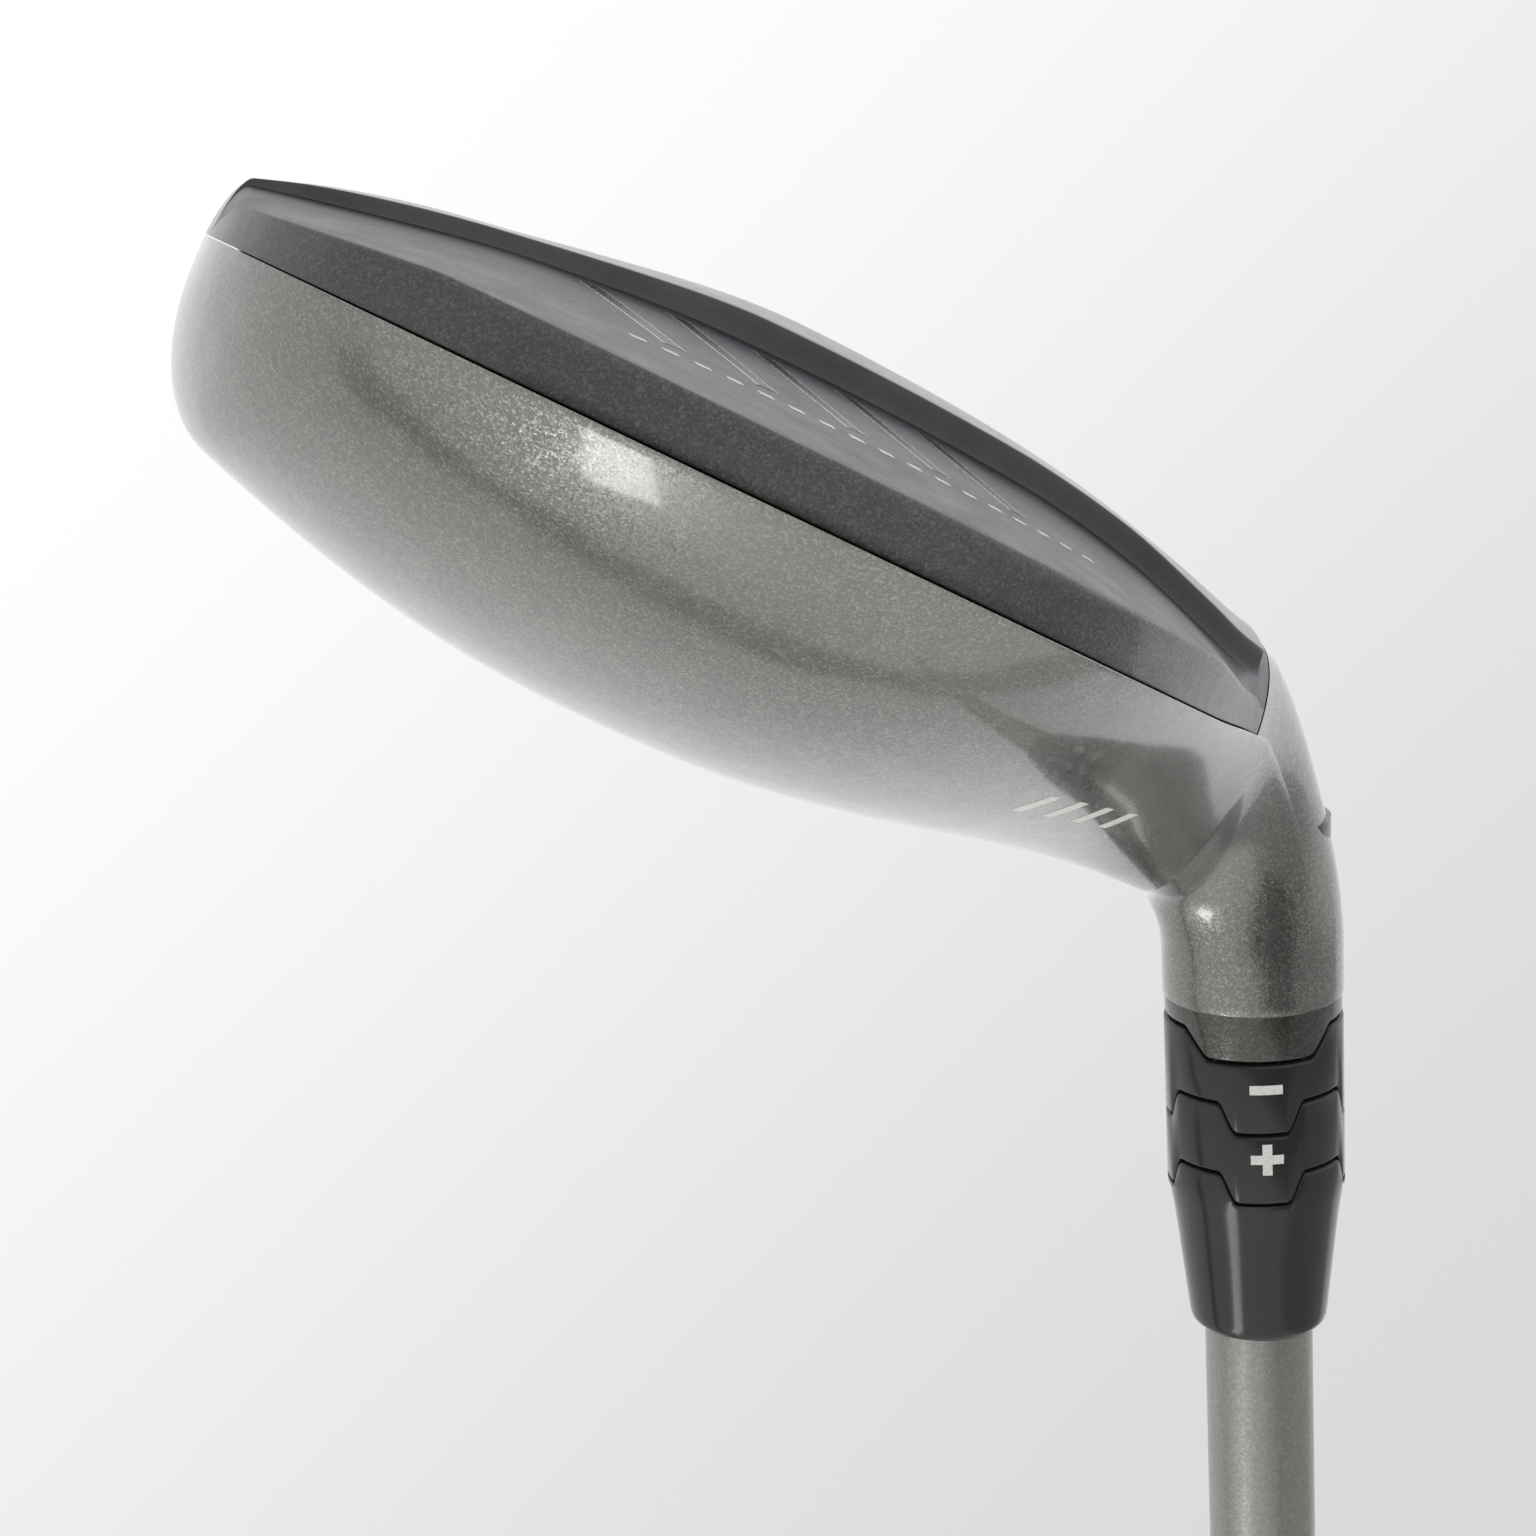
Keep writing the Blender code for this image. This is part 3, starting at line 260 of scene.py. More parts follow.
def head_section(x, inset):
    """Vertical section of the head as (y, z) points: crown, sole and face runs."""
    toe = TOE_X + inset
    x = max(x, toe)
    edge_drop = SEAM_Z - SEAM_GAP
    narrow = closing((MID_X - x) / (MID_X - toe), PLAN_REAR_POWER)
    y_rear = rear_outline(x, inset, narrow)
    front = closing((MID_X - x) / (MID_X - toe), PLAN_FRONT_POWER)
    edge_y = EDGE_Y + x * x / (2 * FACE_BULGE) + inset * 1.1
    round_top = closing((TOE_ROUND_X - x) / (TOE_ROUND_X - toe), TOE_ROUND_POWER)
    top_z = SEAM_Z + (spline(CROWN_LINE, x) - inset - SEAM_Z) * round_top
    low_z = spline(SOLE_CAMBER, x) + inset
    opening = closing((FACE_TOE_X + FACE_ROUND - x) / FACE_ROUND, FACE_ROUND_POWER)
    face_opening = closing((FACE_TOE_X + GAP + FACE_ROUND - x) / FACE_ROUND, FACE_ROUND_POWER)
    edge_z = low_z + EDGE_RISE
    line_z = top_z - TOPLINE_DROP * round_top

    def on_face(z):
        return POLE_Y + (edge_y + (z - edge_z + inset) * math.tan(LOFT) - POLE_Y) * front

    sole_end_z = edge_drop + (edge_z - edge_drop) * opening
    crown_end_z = SEAM_Z + (line_z - SEAM_Z) * opening
    face_low_z = edge_drop + (edge_z - edge_drop) * face_opening + GAP
    face_top_z = SEAM_Z + (line_z - SEAM_Z) * face_opening - GAP
    face_top_z = max(face_top_z, face_low_z)
    a = (on_face(sole_end_z), sole_end_z)
    b = (on_face(crown_end_z), crown_end_z)
    d = (y_rear, SEAM_Z)
    peak = (b[0] + PEAK_SHARE * (y_rear - b[0]), top_z)
    rise = peak[1] - b[1]
    fall = peak[1] - d[1]
    run = d[0] - peak[0]
    near = CROWN_CURVE // 4
    crown = bezier(b, (b[0] + 0.25 * (peak[0] - b[0]), b[1] + 0.62 * rise),
                   (peak[0] - 0.5 * (peak[0] - b[0]), peak[1]), peak, near)
    crown += bezier(peak, (peak[0] + 0.42 * run, peak[1]),
                    (d[0] - 0.16 * run, d[1] + 0.52 * fall), d, CROWN_CURVE - near)[1:]
    crown = crown[:-1] + fillet(crown[-2], d, (d[0] - 2.0, d[1]), LIP * narrow, LIP_COUNT)

    n_wall, n_shelf, n_step, n_front = SOLE_COUNTS
    half = n_front // 2
    top = (y_rear - WALL_INSET * narrow, edge_drop)
    step_z = min(spline(STEP_LINE, x) + inset, top[1] - 0.6)
    wall = min(WALL_HEIGHT - inset, 0.55 * (top[1] - step_z) + 0.3)
    e = (top[0] - 0.8 * narrow, top[1] - wall)
    f = (min(STEP_Y - inset, e[0] - 0.3 * narrow), step_z)
    g = (f[0] - 0.5 * narrow, step_z - min(STEP_HEIGHT, 0.55 * (step_z - low_z) + 0.4))
    low_y = a[0] + LOW_SHARE * (g[0] - a[0])
    low = (low_y, low_z)
    front_floor = bezier(low, (low_y - 0.45 * (low_y - a[0]), low_z),
                         (a[0] + 0.08 * (low_y - a[0]), low_z + 0.25 * (a[1] - low_z)), a,
                         n_front - half)[1:]
    h = (g[0] - 0.5 * (g[0] - low_y), g[1] - 0.75 * (g[1] - low_z))
    lip = fillet((top[0] - 2.0, top[1]), top, e, LIP * narrow, LIP_COUNT)
    at_e = fillet(top, e, f, 1.2 * LIP * narrow, LIP_COUNT)
    at_f = fillet(e, f, g, LIP * narrow, LIP_COUNT)
    at_g = fillet(f, g, h, 1.5 * LIP * narrow, LIP_COUNT)
    stepped = lip + line(lip[-1], at_e[0], WALL_LINE)[1:] + at_e[1:]
    stepped += line(at_e[-1], at_f[0], SHELF_LINE)[1:] + at_f[1:]
    stepped += line(at_f[-1], at_g[0], STEP_RUN)[1:] + at_g[1:]
    stepped += bezier(at_g[-1], h, (low_y + 0.3 * (g[0] - low_y), low_z), low, half)[1:]
    plain = bezier(top, (top[0] - 0.5, top[1] - 0.4 * (top[1] - low_z)),
                   (top[0] - 0.35 * (top[0] - low_y), low_z + 0.12 * (top[1] - low_z)), low,
                   n_wall + n_shelf + n_step + half)
    shut = smooth((x - LENS_END_X) / LENS_END_RUN)
    sole = [mix(p, q, shut) for p, q in zip(stepped, plain)] + front_floor
    toe_open = closing(1 - min(1.0, (x - toe) / TOE_WALL_RUN), 2.0)
    sole = [(p[0], edge_drop + (p[1] - edge_drop) * toe_open) for p in sole]
    face = line((on_face(face_low_z), face_low_z), (on_face(face_top_z), face_top_z), FACE_COUNT)
    return crown, sole, face


def circle_section():
    """The same runs laid round a unit circle, front at -1 and top at +1."""
    def arc(start, end, count):
        angles = [math.radians(start + (end - start) * i / count) for i in range(count + 1)]
        return [(math.cos(q), math.sin(q)) for q in angles]
    return arc(150, -25, CROWN_COUNT), arc(-25, -150, sum(SOLE_COUNTS)), arc(210, 150, FACE_COUNT)


def head_ring(station, inset):
    """Ring of the head at a station: below PIVOT_X an x position, above it millimetres along the
    neck and hosel. Returns three lists of points in mm."""
    x = max(min(station, PIVOT_X), TOE_X + inset)
    beyond = max(0.0, station - PIVOT_X)
    angle = LIE * min(1.0, beyond / NECK_RUN)
    along = max(0.0, beyond - NECK_RUN)
    runs = head_section(x, inset)
    flat = [p for run in runs for p in run]
    y0, y1 = min(p[0] for p in flat), max(p[0] for p in flat)
    v0, v1 = min(p[1] for p in flat), max(p[1] for p in flat)
    span = (PIVOT_X - MORPH_START_X) + NECK_RUN
    w = smooth((station - MORPH_START_X) / span)
    if beyond > 0:
        q = angle / LIE
        reach = 2 * HOSEL_RADIUS + HEEL_DEPTH * (1 - q) ** HEEL_EASE
        top = PIVOT_Z - NECK_RADIUS - inset
        low = PIVOT_Z - NECK_RADIUS - reach + inset
        rear_end = AXIS_Y + HOSEL_RADIUS - inset
        front_end = AXIS_Y - HOSEL_RADIUS + inset
        delta = rear_end - y1
        slope = -REAR_TAPER
        y1 = y1 + slope * q + (3 * delta - 2 * slope) * q ** 2 + (slope - 2 * delta) * q ** 3
        y0 = y0 + (front_end - y0) * smooth(q / FRONT_SETTLE)
        v0 = low
        v1 = top
    mid_y, half_y = 0.5 * (y0 + y1), 0.5 * (y1 - y0)
    mid_v, half_v = 0.5 * (v0 + v1), 0.5 * (v1 - v0)
    by0, by1 = min(p[0] for p in flat), max(p[0] for p in flat)
    bv0, bv1 = min(p[1] for p in flat), max(p[1] for p in flat)
    result = []
    for run, arc in zip(runs, circle_section()):
        points = []
        for (py, pv), (cy, cv) in zip(run, arc):
            ny = (2 * py - by0 - by1) / max(by1 - by0, 1e-9)
            nv = (2 * pv - bv0 - bv1) / max(bv1 - bv0, 1e-9)
            y = mid_y + half_y * (ny + (cy - ny) * w)
            v = mid_v + half_v * (nv + (cv - nv) * w)
            drop = v - PIVOT_Z
            points.append(Vector((x - drop * math.sin(angle) + along * math.cos(LIE), y,
                                  PIVOT_Z + drop * math.cos(angle) + along * math.sin(LIE))))
        result.append(points)
    return result


# ==== mesh helpers ====
def finished(name, bm, mats, body, slot_name, degrees=30.0):
    """Object from a bmesh, smooth shaded, riding on a body."""
    bmesh.ops.remove_doubles(bm, verts=bm.verts, dist=0.0000004)
    flat = [f for f in bm.faces if f.calc_area() < 1e-14]
    bmesh.ops.delete(bm, geom=flat, context="FACES_ONLY")
    bmesh.ops.recalc_face_normals(bm, faces=bm.faces)
    mesh = bpy.data.meshes.new(name)
    bm.to_mesh(mesh)
    bm.free()
    for mat in mats:
        mesh.materials.append(mat)
    obj = bpy.data.objects.new(name, mesh)
    bpy.context.scene.collection.objects.link(obj)
    smooth_shade(obj, degrees)
    PIECES.append((obj, body, slot_name))
    return obj


def smooth_shade(obj, degrees=30.0):
    obj.data.shade_smooth()
    obj.data.set_sharp_from_angle(angle=math.radians(degrees))


PIECES = []


def cut_away(obj, cutter_bm, slot=0, operation="DIFFERENCE"):
    """Cut the object by the cutter for good; the cut faces get the given material slot."""
    for face in cutter_bm.faces:
        face.material_index = slot
    mesh = bpy.data.meshes.new("cutter")
    cutter_bm.to_mesh(mesh)
    cutter_bm.free()
    cutter = bpy.data.objects.new("cutter", mesh)
    bpy.context.scene.collection.objects.link(cutter)
    mod = obj.modifiers.new("Cut", "BOOLEAN")
    mod.operation = operation
    mod.solver = "EXACT"
    mod.object = cutter
    bpy.context.view_layer.update()
    graph = bpy.context.evaluated_depsgraph_get()
    result = bpy.data.meshes.new_from_object(obj.evaluated_get(graph))
    obj.modifiers.clear()
    obj.data = result
    bpy.data.objects.remove(cutter)


def on_axis(obj, along):
    """Put local Z along the shaft with the origin at this distance from the ground."""
    obj.location = Vector((AXIS_X + along * math.cos(LIE), AXIS_Y, along * math.sin(LIE))) * MM
    obj.rotation_euler = Euler((0.0, math.pi / 2 - LIE, 0.0))
    return obj


def axis_matrix():
    return (Matrix.Translation(Vector((AXIS_X, AXIS_Y, 0.0)) * MM)
            @ Euler((0.0, math.pi / 2 - LIE, 0.0)).to_matrix().to_4x4())


def tube_bm(radius, low, high, steps):
    """Solid cylinder along the shaft axis, in the row frame."""
    bm = bmesh.new()
    bmesh.ops.create_cone(bm, cap_ends=True, segments=steps, radius1=radius * MM, radius2=radius * MM,
                          depth=(high - low) * MM)
    bmesh.ops.translate(bm, verts=bm.verts, vec=(0.0, 0.0, 0.5 * (low + high) * MM))
    bmesh.ops.transform(bm, matrix=axis_matrix(), verts=bm.verts)
    return bm


def turned_bm(profile, steps, closed=True):
    """Surface of revolution about local Z; profile is (radius, height) in mm."""
    bm = bmesh.new()
    columns = []
    for i in range(steps):
        q = 2 * math.pi * i / steps
        columns.append([bm.verts.new((r * math.cos(q) * MM, r * math.sin(q) * MM, z * MM))
                        for r, z in profile])
    count = len(profile) if closed else len(profile) - 1
    for i, column in enumerate(columns):
        other = columns[(i + 1) % steps]
        for k in range(count):
            m = (k + 1) % len(profile)
            bm.faces.new([column[k], column[m], other[m], other[k]])
    return bm


# ==== material helpers ====
class Graph:
    """Short way of writing node trees."""

    def __init__(self, name):
        self.mat = bpy.data.materials.new(name)
        self.mat.use_nodes = True
        self.tree = self.mat.node_tree
        self.shader = self.tree.nodes["Principled BSDF"]
        self.coords = self.add("ShaderNodeTexCoord").outputs["Object"]

    def add(self, kind, **values):
        node = self.tree.nodes.new(kind)
        for key, value in values.items():
            setattr(node, key, value)
        return node

    def link(self, value, socket):
        if hasattr(value, "is_output"):
            self.tree.links.new(value, socket)
        else:
            socket.default_value = value

    def math(self, operation, a, b=0.0, c=0.0, clamp=False):
        node = self.add("ShaderNodeMath", operation=operation, use_clamp=clamp)
        for value, socket in zip((a, b, c), node.inputs):
            self.link(value, socket)
        return node.outputs[0]

    def vector(self, operation, a, b=(0.0, 0.0, 0.0), scale=1.0):
        node = self.add("ShaderNodeVectorMath", operation=operation)
        self.link(a, node.inputs[0])
        self.link(b, node.inputs[1])
        if operation == "SCALE":
            self.link(scale, node.inputs["Scale"])
        return node.outputs[1] if operation == "LENGTH" else node.outputs[0]

    def noise(self, scale, detail=3.0, roughness=0.5, coords=None):
        node = self.add("ShaderNodeTexNoise")
        self.link(coords or self.coords, node.inputs["Vector"])
        node.inputs["Scale"].default_value = scale
        node.inputs["Detail"].default_value = detail
        node.inputs["Roughness"].default_value = roughness
        return node.outputs["Fac"]

    def cells(self, scale, coords=None, feature="F1"):
        node = self.add("ShaderNodeTexVoronoi", feature=feature)
        self.link(coords or self.coords, node.inputs["Vector"])
        node.inputs["Scale"].default_value = scale
        return node

    def span(self, value, low, high, to_low=0.0, to_high=1.0):
        node = self.add("ShaderNodeMapRange")
        node.clamp = True
        for v, socket in zip((value, low, high, to_low, to_high), node.inputs):
            self.link(v, socket)
        return node.outputs[0]

    def blend(self, fac, a, b):
        node = self.add("ShaderNodeMix", data_type="RGBA")
        self.link(fac, node.inputs["Factor"])
        self.link(a, node.inputs["A"])
        self.link(b, node.inputs["B"])
        return node.outputs["Result"]

    def stretched(self, scale):
        node = self.add("ShaderNodeMapping")
        self.link(self.coords, node.inputs["Vector"])
        node.inputs["Scale"].default_value = scale
        return node.outputs["Vector"]

    def xyz(self):
        node = self.add("ShaderNodeSeparateXYZ")
        self.link(self.coords, node.inputs[0])
        return node.outputs

    def bump(self, height, distance, strength=1.0, normal=None):
        node = self.add("ShaderNodeBump")
        node.inputs["Strength"].default_value = strength
        node.inputs["Distance"].default_value = distance
        self.link(height, node.inputs["Height"])
        if normal is not None:
            self.link(normal, node.inputs["Normal"])
        return node.outputs["Normal"]

    def set(self, **values):
        names = {"color": "Base Color", "metallic": "Metallic", "rough": "Roughness", "normal": "Normal",
                 "coat": "Coat Weight", "coat_rough": "Coat Roughness", "coat_ior": "Coat IOR",
                 "specular": "Specular IOR Level", "sheen": "Sheen Weight", "ior": "IOR",
                 "aniso": "Anisotropic"}
        for key, value in values.items():
            self.link(value, self.shader.inputs[names[key]])
        return self.mat


def rgb(r, g, b):
    return (r, g, b, 1.0)


def flake_paint(name, dark, light, flake=7200.0, tilt=0.13, rough=0.30, coat=1.0, coat_rough=0.075):
    """Clear-coated paint whose flakes each lean and shine a little differently."""
    g = Graph(name)
    flakes = g.cells(flake)
    fine = g.cells(flake * 2.3)
    lean = g.vector("SUBTRACT", flakes.outputs["Color"], (0.5, 0.5, 0.5))
    lean = g.vector("SCALE", lean, scale=tilt)
    small = g.vector("SUBTRACT", fine.outputs["Color"], (0.5, 0.5, 0.5))
    small = g.vector("SCALE", small, scale=tilt * 0.6)
    normal = g.add("ShaderNodeNewGeometry").outputs["Normal"]
    normal = g.vector("NORMALIZE", g.vector("ADD", g.vector("ADD", normal, lean), small))
    pick = g.add("ShaderNodeSeparateColor")
    g.link(flakes.outputs["Color"], pick.inputs[0])
    spark = g.math("POWER", pick.outputs[0], 3.0)
    cloud = g.noise(90.0, 4.0)
    mixed = g.math("ADD", g.math("MULTIPLY", spark, 0.5), g.span(cloud, 0.35, 0.65, 0.1, 0.2))
    color = g.blend(mixed, dark, light)
    wear = g.noise(420.0, 5.0, 0.6)
    return g.set(color=color, metallic=0.85, rough=g.span(wear, 0.3, 0.7, rough - 0.05, rough + 0.06),
                 normal=normal, coat=coat, coat_rough=coat_rough)


def satin_metal(name, dark, light, rough, grain=2600.0, depth=0.000006, coat=0.0):
    g = Graph(name)
    speck = g.noise(grain, 2.0)
    cloud = g.noise(70.0, 5.0)
    color = g.blend(g.span(cloud, 0.3, 0.7), dark, light)
    uneven = g.math("ADD", g.span(g.noise(240.0, 4.0), 0.3, 0.7, rough - 0.04, rough + 0.05),
                    g.span(speck, 0.3, 0.7, -0.03, 0.03))
    return g.set(color=color, metallic=0.9, rough=uneven, normal=g.bump(speck, depth), coat=coat,
                 coat_rough=0.08)


def machined_metal(name, dark, light, rough, pitch=0.00018):
    """Turned steel or aluminium: fine tool rings along the axis, with rubbed patches."""
    g = Graph(name)
    z = g.xyz()[2]
    rings = g.math("SINE", g.math("MULTIPLY", z, 2 * math.pi / pitch))
    scratch = g.noise(900.0, 4.0, 0.6, g.stretched((1.0, 1.0, 0.15)))
    color = g.blend(g.span(g.noise(160.0, 4.0), 0.3, 0.7), dark, light)
    height = g.math("ADD", g.math("MULTIPLY", rings, 0.35), scratch)
    return g.set(color=color, metallic=1.0, rough=g.span(scratch, 0.3, 0.7, rough - 0.06, rough + 0.08),
                 normal=g.bump(height, 0.000004), aniso=0.3)


def face_metal():
    """Blasted club face with milled score lines."""
    g = Graph("face_blasted")
    x, _, z = g.xyz()
    pitch, width = 0.0031, 0.0007
    phase = g.math("SUBTRACT", g.math("FRACT", g.math("DIVIDE", z, pitch)), 0.5)
    line_mask = g.span(g.math("ABSOLUTE", phase), 0.5 * width / pitch * 0.75, 0.5 * width / pitch * 1.25,
                       1.0, 0.0)
    left = g.span(x, -0.0213, -0.0209, 0.0, 1.0)
    right = g.span(x, 0.0209, 0.0213, 1.0, 0.0)
    low = g.span(z, 0.0072, 0.0073, 0.0, 1.0)
    groove = g.math("MULTIPLY", g.math("MULTIPLY", line_mask, low), g.math("MULTIPLY", left, right))
    grain = g.noise(5200.0, 2.0)
    color = g.blend(g.span(g.noise(120.0, 5.0), 0.3, 0.7), rgb(0.33, 0.33, 0.34), rgb(0.46, 0.46, 0.46))
    # the milled score lines are painted near black: painted shade in the grooves
    color = g.blend(groove, color, rgb(0.05, 0.05, 0.05))
    height = g.math("SUBTRACT", g.math("MULTIPLY", grain, 0.04), groove)
    return g.set(color=color, metallic=0.95, rough=g.span(grain, 0.3, 0.7, 0.34, 0.46),
                 normal=g.bump(height, 0.0003, 0.8))


def gloss_plastic():
    """Moulded black plastic with a hard shine, faint flow marks and fine rubs."""
    g = Graph("cog_gloss_black")
    flow = g.noise(130.0, 4.0, 0.55, g.stretched((1.0, 1.0, 0.3)))
    rub = g.noise(2400.0, 3.0, 0.6)
    color = g.blend(g.span(flow, 0.3, 0.7), rgb(0.022, 0.023, 0.022), rgb(0.032, 0.033, 0.031))
    g.shader.inputs["Specular IOR Level"].default_value = 0.25
    rough = g.math("ADD", g.span(flow, 0.3, 0.7, 0.13, 0.19), g.span(rub, 0.45, 0.75, 0.0, 0.05))
    return g.set(color=color, rough=rough, normal=g.bump(rub, 0.000004, 0.3), coat=0.12, coat_rough=0.08)


def shaft_paint():
    """Satin silver-grey paint over wound fibre, with a fine sparkle."""
    g = Graph("shaft_satin_silver")
    flakes = g.cells(5200.0)
    pick = g.add("ShaderNodeSeparateColor")
    g.link(flakes.outputs["Color"], pick.inputs[0])
    wound = g.noise(260.0, 3.0, 0.5, g.stretched((1.0, 1.0, 0.08)))
    fac = g.math("ADD", g.math("MULTIPLY", g.math("POWER", pick.outputs[0], 2.0), 0.5),
                 g.span(wound, 0.3, 0.7, 0.0, 0.25))
    color = g.blend(fac, rgb(0.23, 0.24, 0.215), rgb(0.36, 0.37, 0.34))
    lean = g.vector("SCALE", g.vector("SUBTRACT", flakes.outputs["Color"], (0.5, 0.5, 0.5)), scale=0.06)
    normal = g.add("ShaderNodeNewGeometry").outputs["Normal"]
    return g.set(color=color, metallic=0.72, rough=g.span(wound, 0.3, 0.7, 0.36, 0.43),
                 normal=g.vector("NORMALIZE", g.vector("ADD", normal, lean)), coat=0.25, coat_rough=0.25)


def grip_rubber():
    """Rubber with a moulded net of raised diamonds and a fine pebble."""
    g = Graph("grip_moulded_rubber")
    x, y, z = g.xyz()
    angle = g.math("ARCTAN2", y, x)
    turns, pitch = 14.0, 2 * math.pi / 0.0062
    a = g.math("MULTIPLY", angle, turns)
    b = g.math("MULTIPLY", z, pitch)
    one = g.math("ABSOLUTE", g.math("SINE", g.math("MULTIPLY", g.math("ADD", a, b), 0.5)))
    two = g.math("ABSOLUTE", g.math("SINE", g.math("MULTIPLY", g.math("SUBTRACT", a, b), 0.5)))
    net = g.span(g.math("MINIMUM", one, two), 0.10, 0.22)
    plain = g.math("MAXIMUM", g.span(z, 0.012, 0.0125, 1.0, 0.0), g.span(z, 0.2480, 0.2485, 0.0, 1.0))
    net = g.math("MAXIMUM", net, plain)
    pebble = g.noise(2600.0, 3.0, 0.6)
    dust = g.span(g.noise(60.0, 5.0), 0.4, 0.7, 0.0, 0.5)
    # the grooves between the raised diamonds are painted darker than the diamonds: painted shade in the
    # grooves
    color = g.blend(g.math("MULTIPLY", net, 0.8), rgb(0.012, 0.012, 0.012), rgb(0.030, 0.030, 0.031))
    color = g.blend(g.math("MULTIPLY", dust, 0.25), color, rgb(0.07, 0.068, 0.064))
    height = g.math("ADD", net, g.math("MULTIPLY", pebble, 0.18))
    return g.set(color=color, rough=g.span(pebble, 0.3, 0.7, 0.66, 0.82), normal=g.bump(height, 0.0004, 0.9),
                 specular=0.4, sheen=0.08)


def cap_plastic():
    g = Graph("cap_hard_rubber")
    pebble = g.noise(1800.0, 4.0, 0.6)
    cloud = g.noise(140.0, 4.0)
    color = g.blend(g.span(cloud, 0.3, 0.7), rgb(0.020, 0.020, 0.021), rgb(0.040, 0.040, 0.041))
    return g.set(color=color, rough=g.span(pebble, 0.3, 0.7, 0.5, 0.65), normal=g.bump(pebble, 0.00005, 0.6),
                 specular=0.45)


def mark_paint(name, dark, light, metallic, rough):
    """Filled or foiled marking with slightly uneven cover."""
    g = Graph(name)
    cover = g.noise(3000.0, 4.0, 0.6)
    return g.set(color=g.blend(g.span(cover, 0.35, 0.65), dark, light), metallic=metallic,
                 rough=g.span(cover, 0.3, 0.7, rough - 0.05, rough + 0.08), normal=g.bump(cover, 0.000008))


def paper_tape():
    g = Graph("tape_paper")
    fibre = g.noise(1400.0, 6.0, 0.7, g.stretched((1.0, 1.0, 0.3)))
    return g.set(color=g.blend(g.span(fibre, 0.3, 0.7), rgb(0.62, 0.59, 0.50), rgb(0.80, 0.78, 0.70)),
                 rough=g.span(fibre, 0.3, 0.7, 0.75, 0.9), normal=g.bump(fibre, 0.00005))


PAINT = flake_paint("crown_flake_paint", rgb(0.115, 0.117, 0.108), rgb(0.36, 0.37, 0.33))
SKIRT = flake_paint("skirt_flake_paint", rgb(0.040, 0.042, 0.040), rgb(0.155, 0.16, 0.15), 7200.0, 0.14, 0.42,
                    0.6, 0.08)
COLLAR = flake_paint("collar_flake_paint", rgb(0.036, 0.037, 0.032), rgb(0.14, 0.14, 0.125), 7200.0, 0.14,
                     0.36, 0.6, 0.06)
SHELF = satin_metal("shelf_satin_smoke", rgb(0.085, 0.080, 0.095), rgb(0.115, 0.108, 0.128), 0.36)
FRONT = satin_metal("sole_gloss_smoke", rgb(0.17, 0.166, 0.178), rgb(0.22, 0.216, 0.228), 0.3, 2600.0,
                    0.000003, 0.4)
STEP = satin_metal("step_dark_smoke", rgb(0.050, 0.050, 0.055), rgb(0.072, 0.072, 0.078), 0.34)
FACE = face_metal()
BARE = satin_metal("cast_metal", rgb(0.34, 0.33, 0.32), rgb(0.46, 0.45, 0.44), 0.45, 900.0, 0.00003)
DENSE = satin_metal("sintered_metal", rgb(0.24, 0.24, 0.25), rgb(0.34, 0.34, 0.35), 0.5, 1400.0, 0.00003)
STEEL = machined_metal("machined_steel", rgb(0.42, 0.42, 0.44), rgb(0.58, 0.58, 0.60), 0.28)
ALUMINIUM = machined_metal("anodised_sleeve", rgb(0.48, 0.49, 0.52), rgb(0.60, 0.61, 0.63), 0.34, 0.00025)
PLASTIC = gloss_plastic()
SHAFT = shaft_paint()
RUBBER = grip_rubber()
CAP = cap_plastic()
TAPE = paper_tape()
WHITE = mark_paint("white_marking", rgb(0.62, 0.64, 0.60), rgb(0.76, 0.78, 0.74), 0.0, 0.45)
FOIL = mark_paint("foil_marking", rgb(0.50, 0.50, 0.53), rgb(0.66, 0.66, 0.69), 0.9, 0.25)
DARK_MARK = mark_paint("dark_marking", rgb(0.012, 0.012, 0.014), rgb(0.022, 0.022, 0.025), 0.3, 0.2)


# ==== head ====
def station_list():
    """Fine stations: close together at the toe, about a millimetre along the body and neck."""
    end = PIVOT_X + NECK_RUN
    fixed = [TOE_X, FACE_START_X, FACE_END_X, FACE_END_X + GAP, SOLE_SPLIT_X, SOLE_SPLIT_X + GAP, PIVOT_X,
             end, end + HOSEL_TOP - HOSEL_START - 0.5, end + HOSEL_TOP - HOSEL_START - 0.15,
             end + HOSEL_TOP - HOSEL_START]
    loose = [TOE_X + 8.0 * (k / 26.0) ** 2.3 for k in range(1, 27)]
    x = loose[-1] + 1.2
    while x < end + 3.3:
        loose.append(x)
        x += 1.2 if x < FACE_END_X else 0.8
    stations = list(fixed)
    for x in loose:
        room = min(abs(x - f) for f in fixed)
        if room > (0.004 if x < FACE_START_X - 0.5 else 0.25):
            stations.append(x)
    return sorted(stations)


HOSEL_START = (PIVOT_X - AXIS_X) * math.cos(LIE) + PIVOT_Z * math.sin(LIE)
STATIONS = station_list()


def head_grid(inset):
    """Rings of all stations, in metres; the end of the hosel is rounded over."""
    rings = []
    for k, station in enumerate(STATIONS):
        over = {len(STATIONS) - 1: 0.2, len(STATIONS) - 2: 0.06}.get(k, 0.0)
        ring = [p for run in head_ring(station, inset + over) for p in run]
        rings.append([p * MM for p in ring])
    return rings


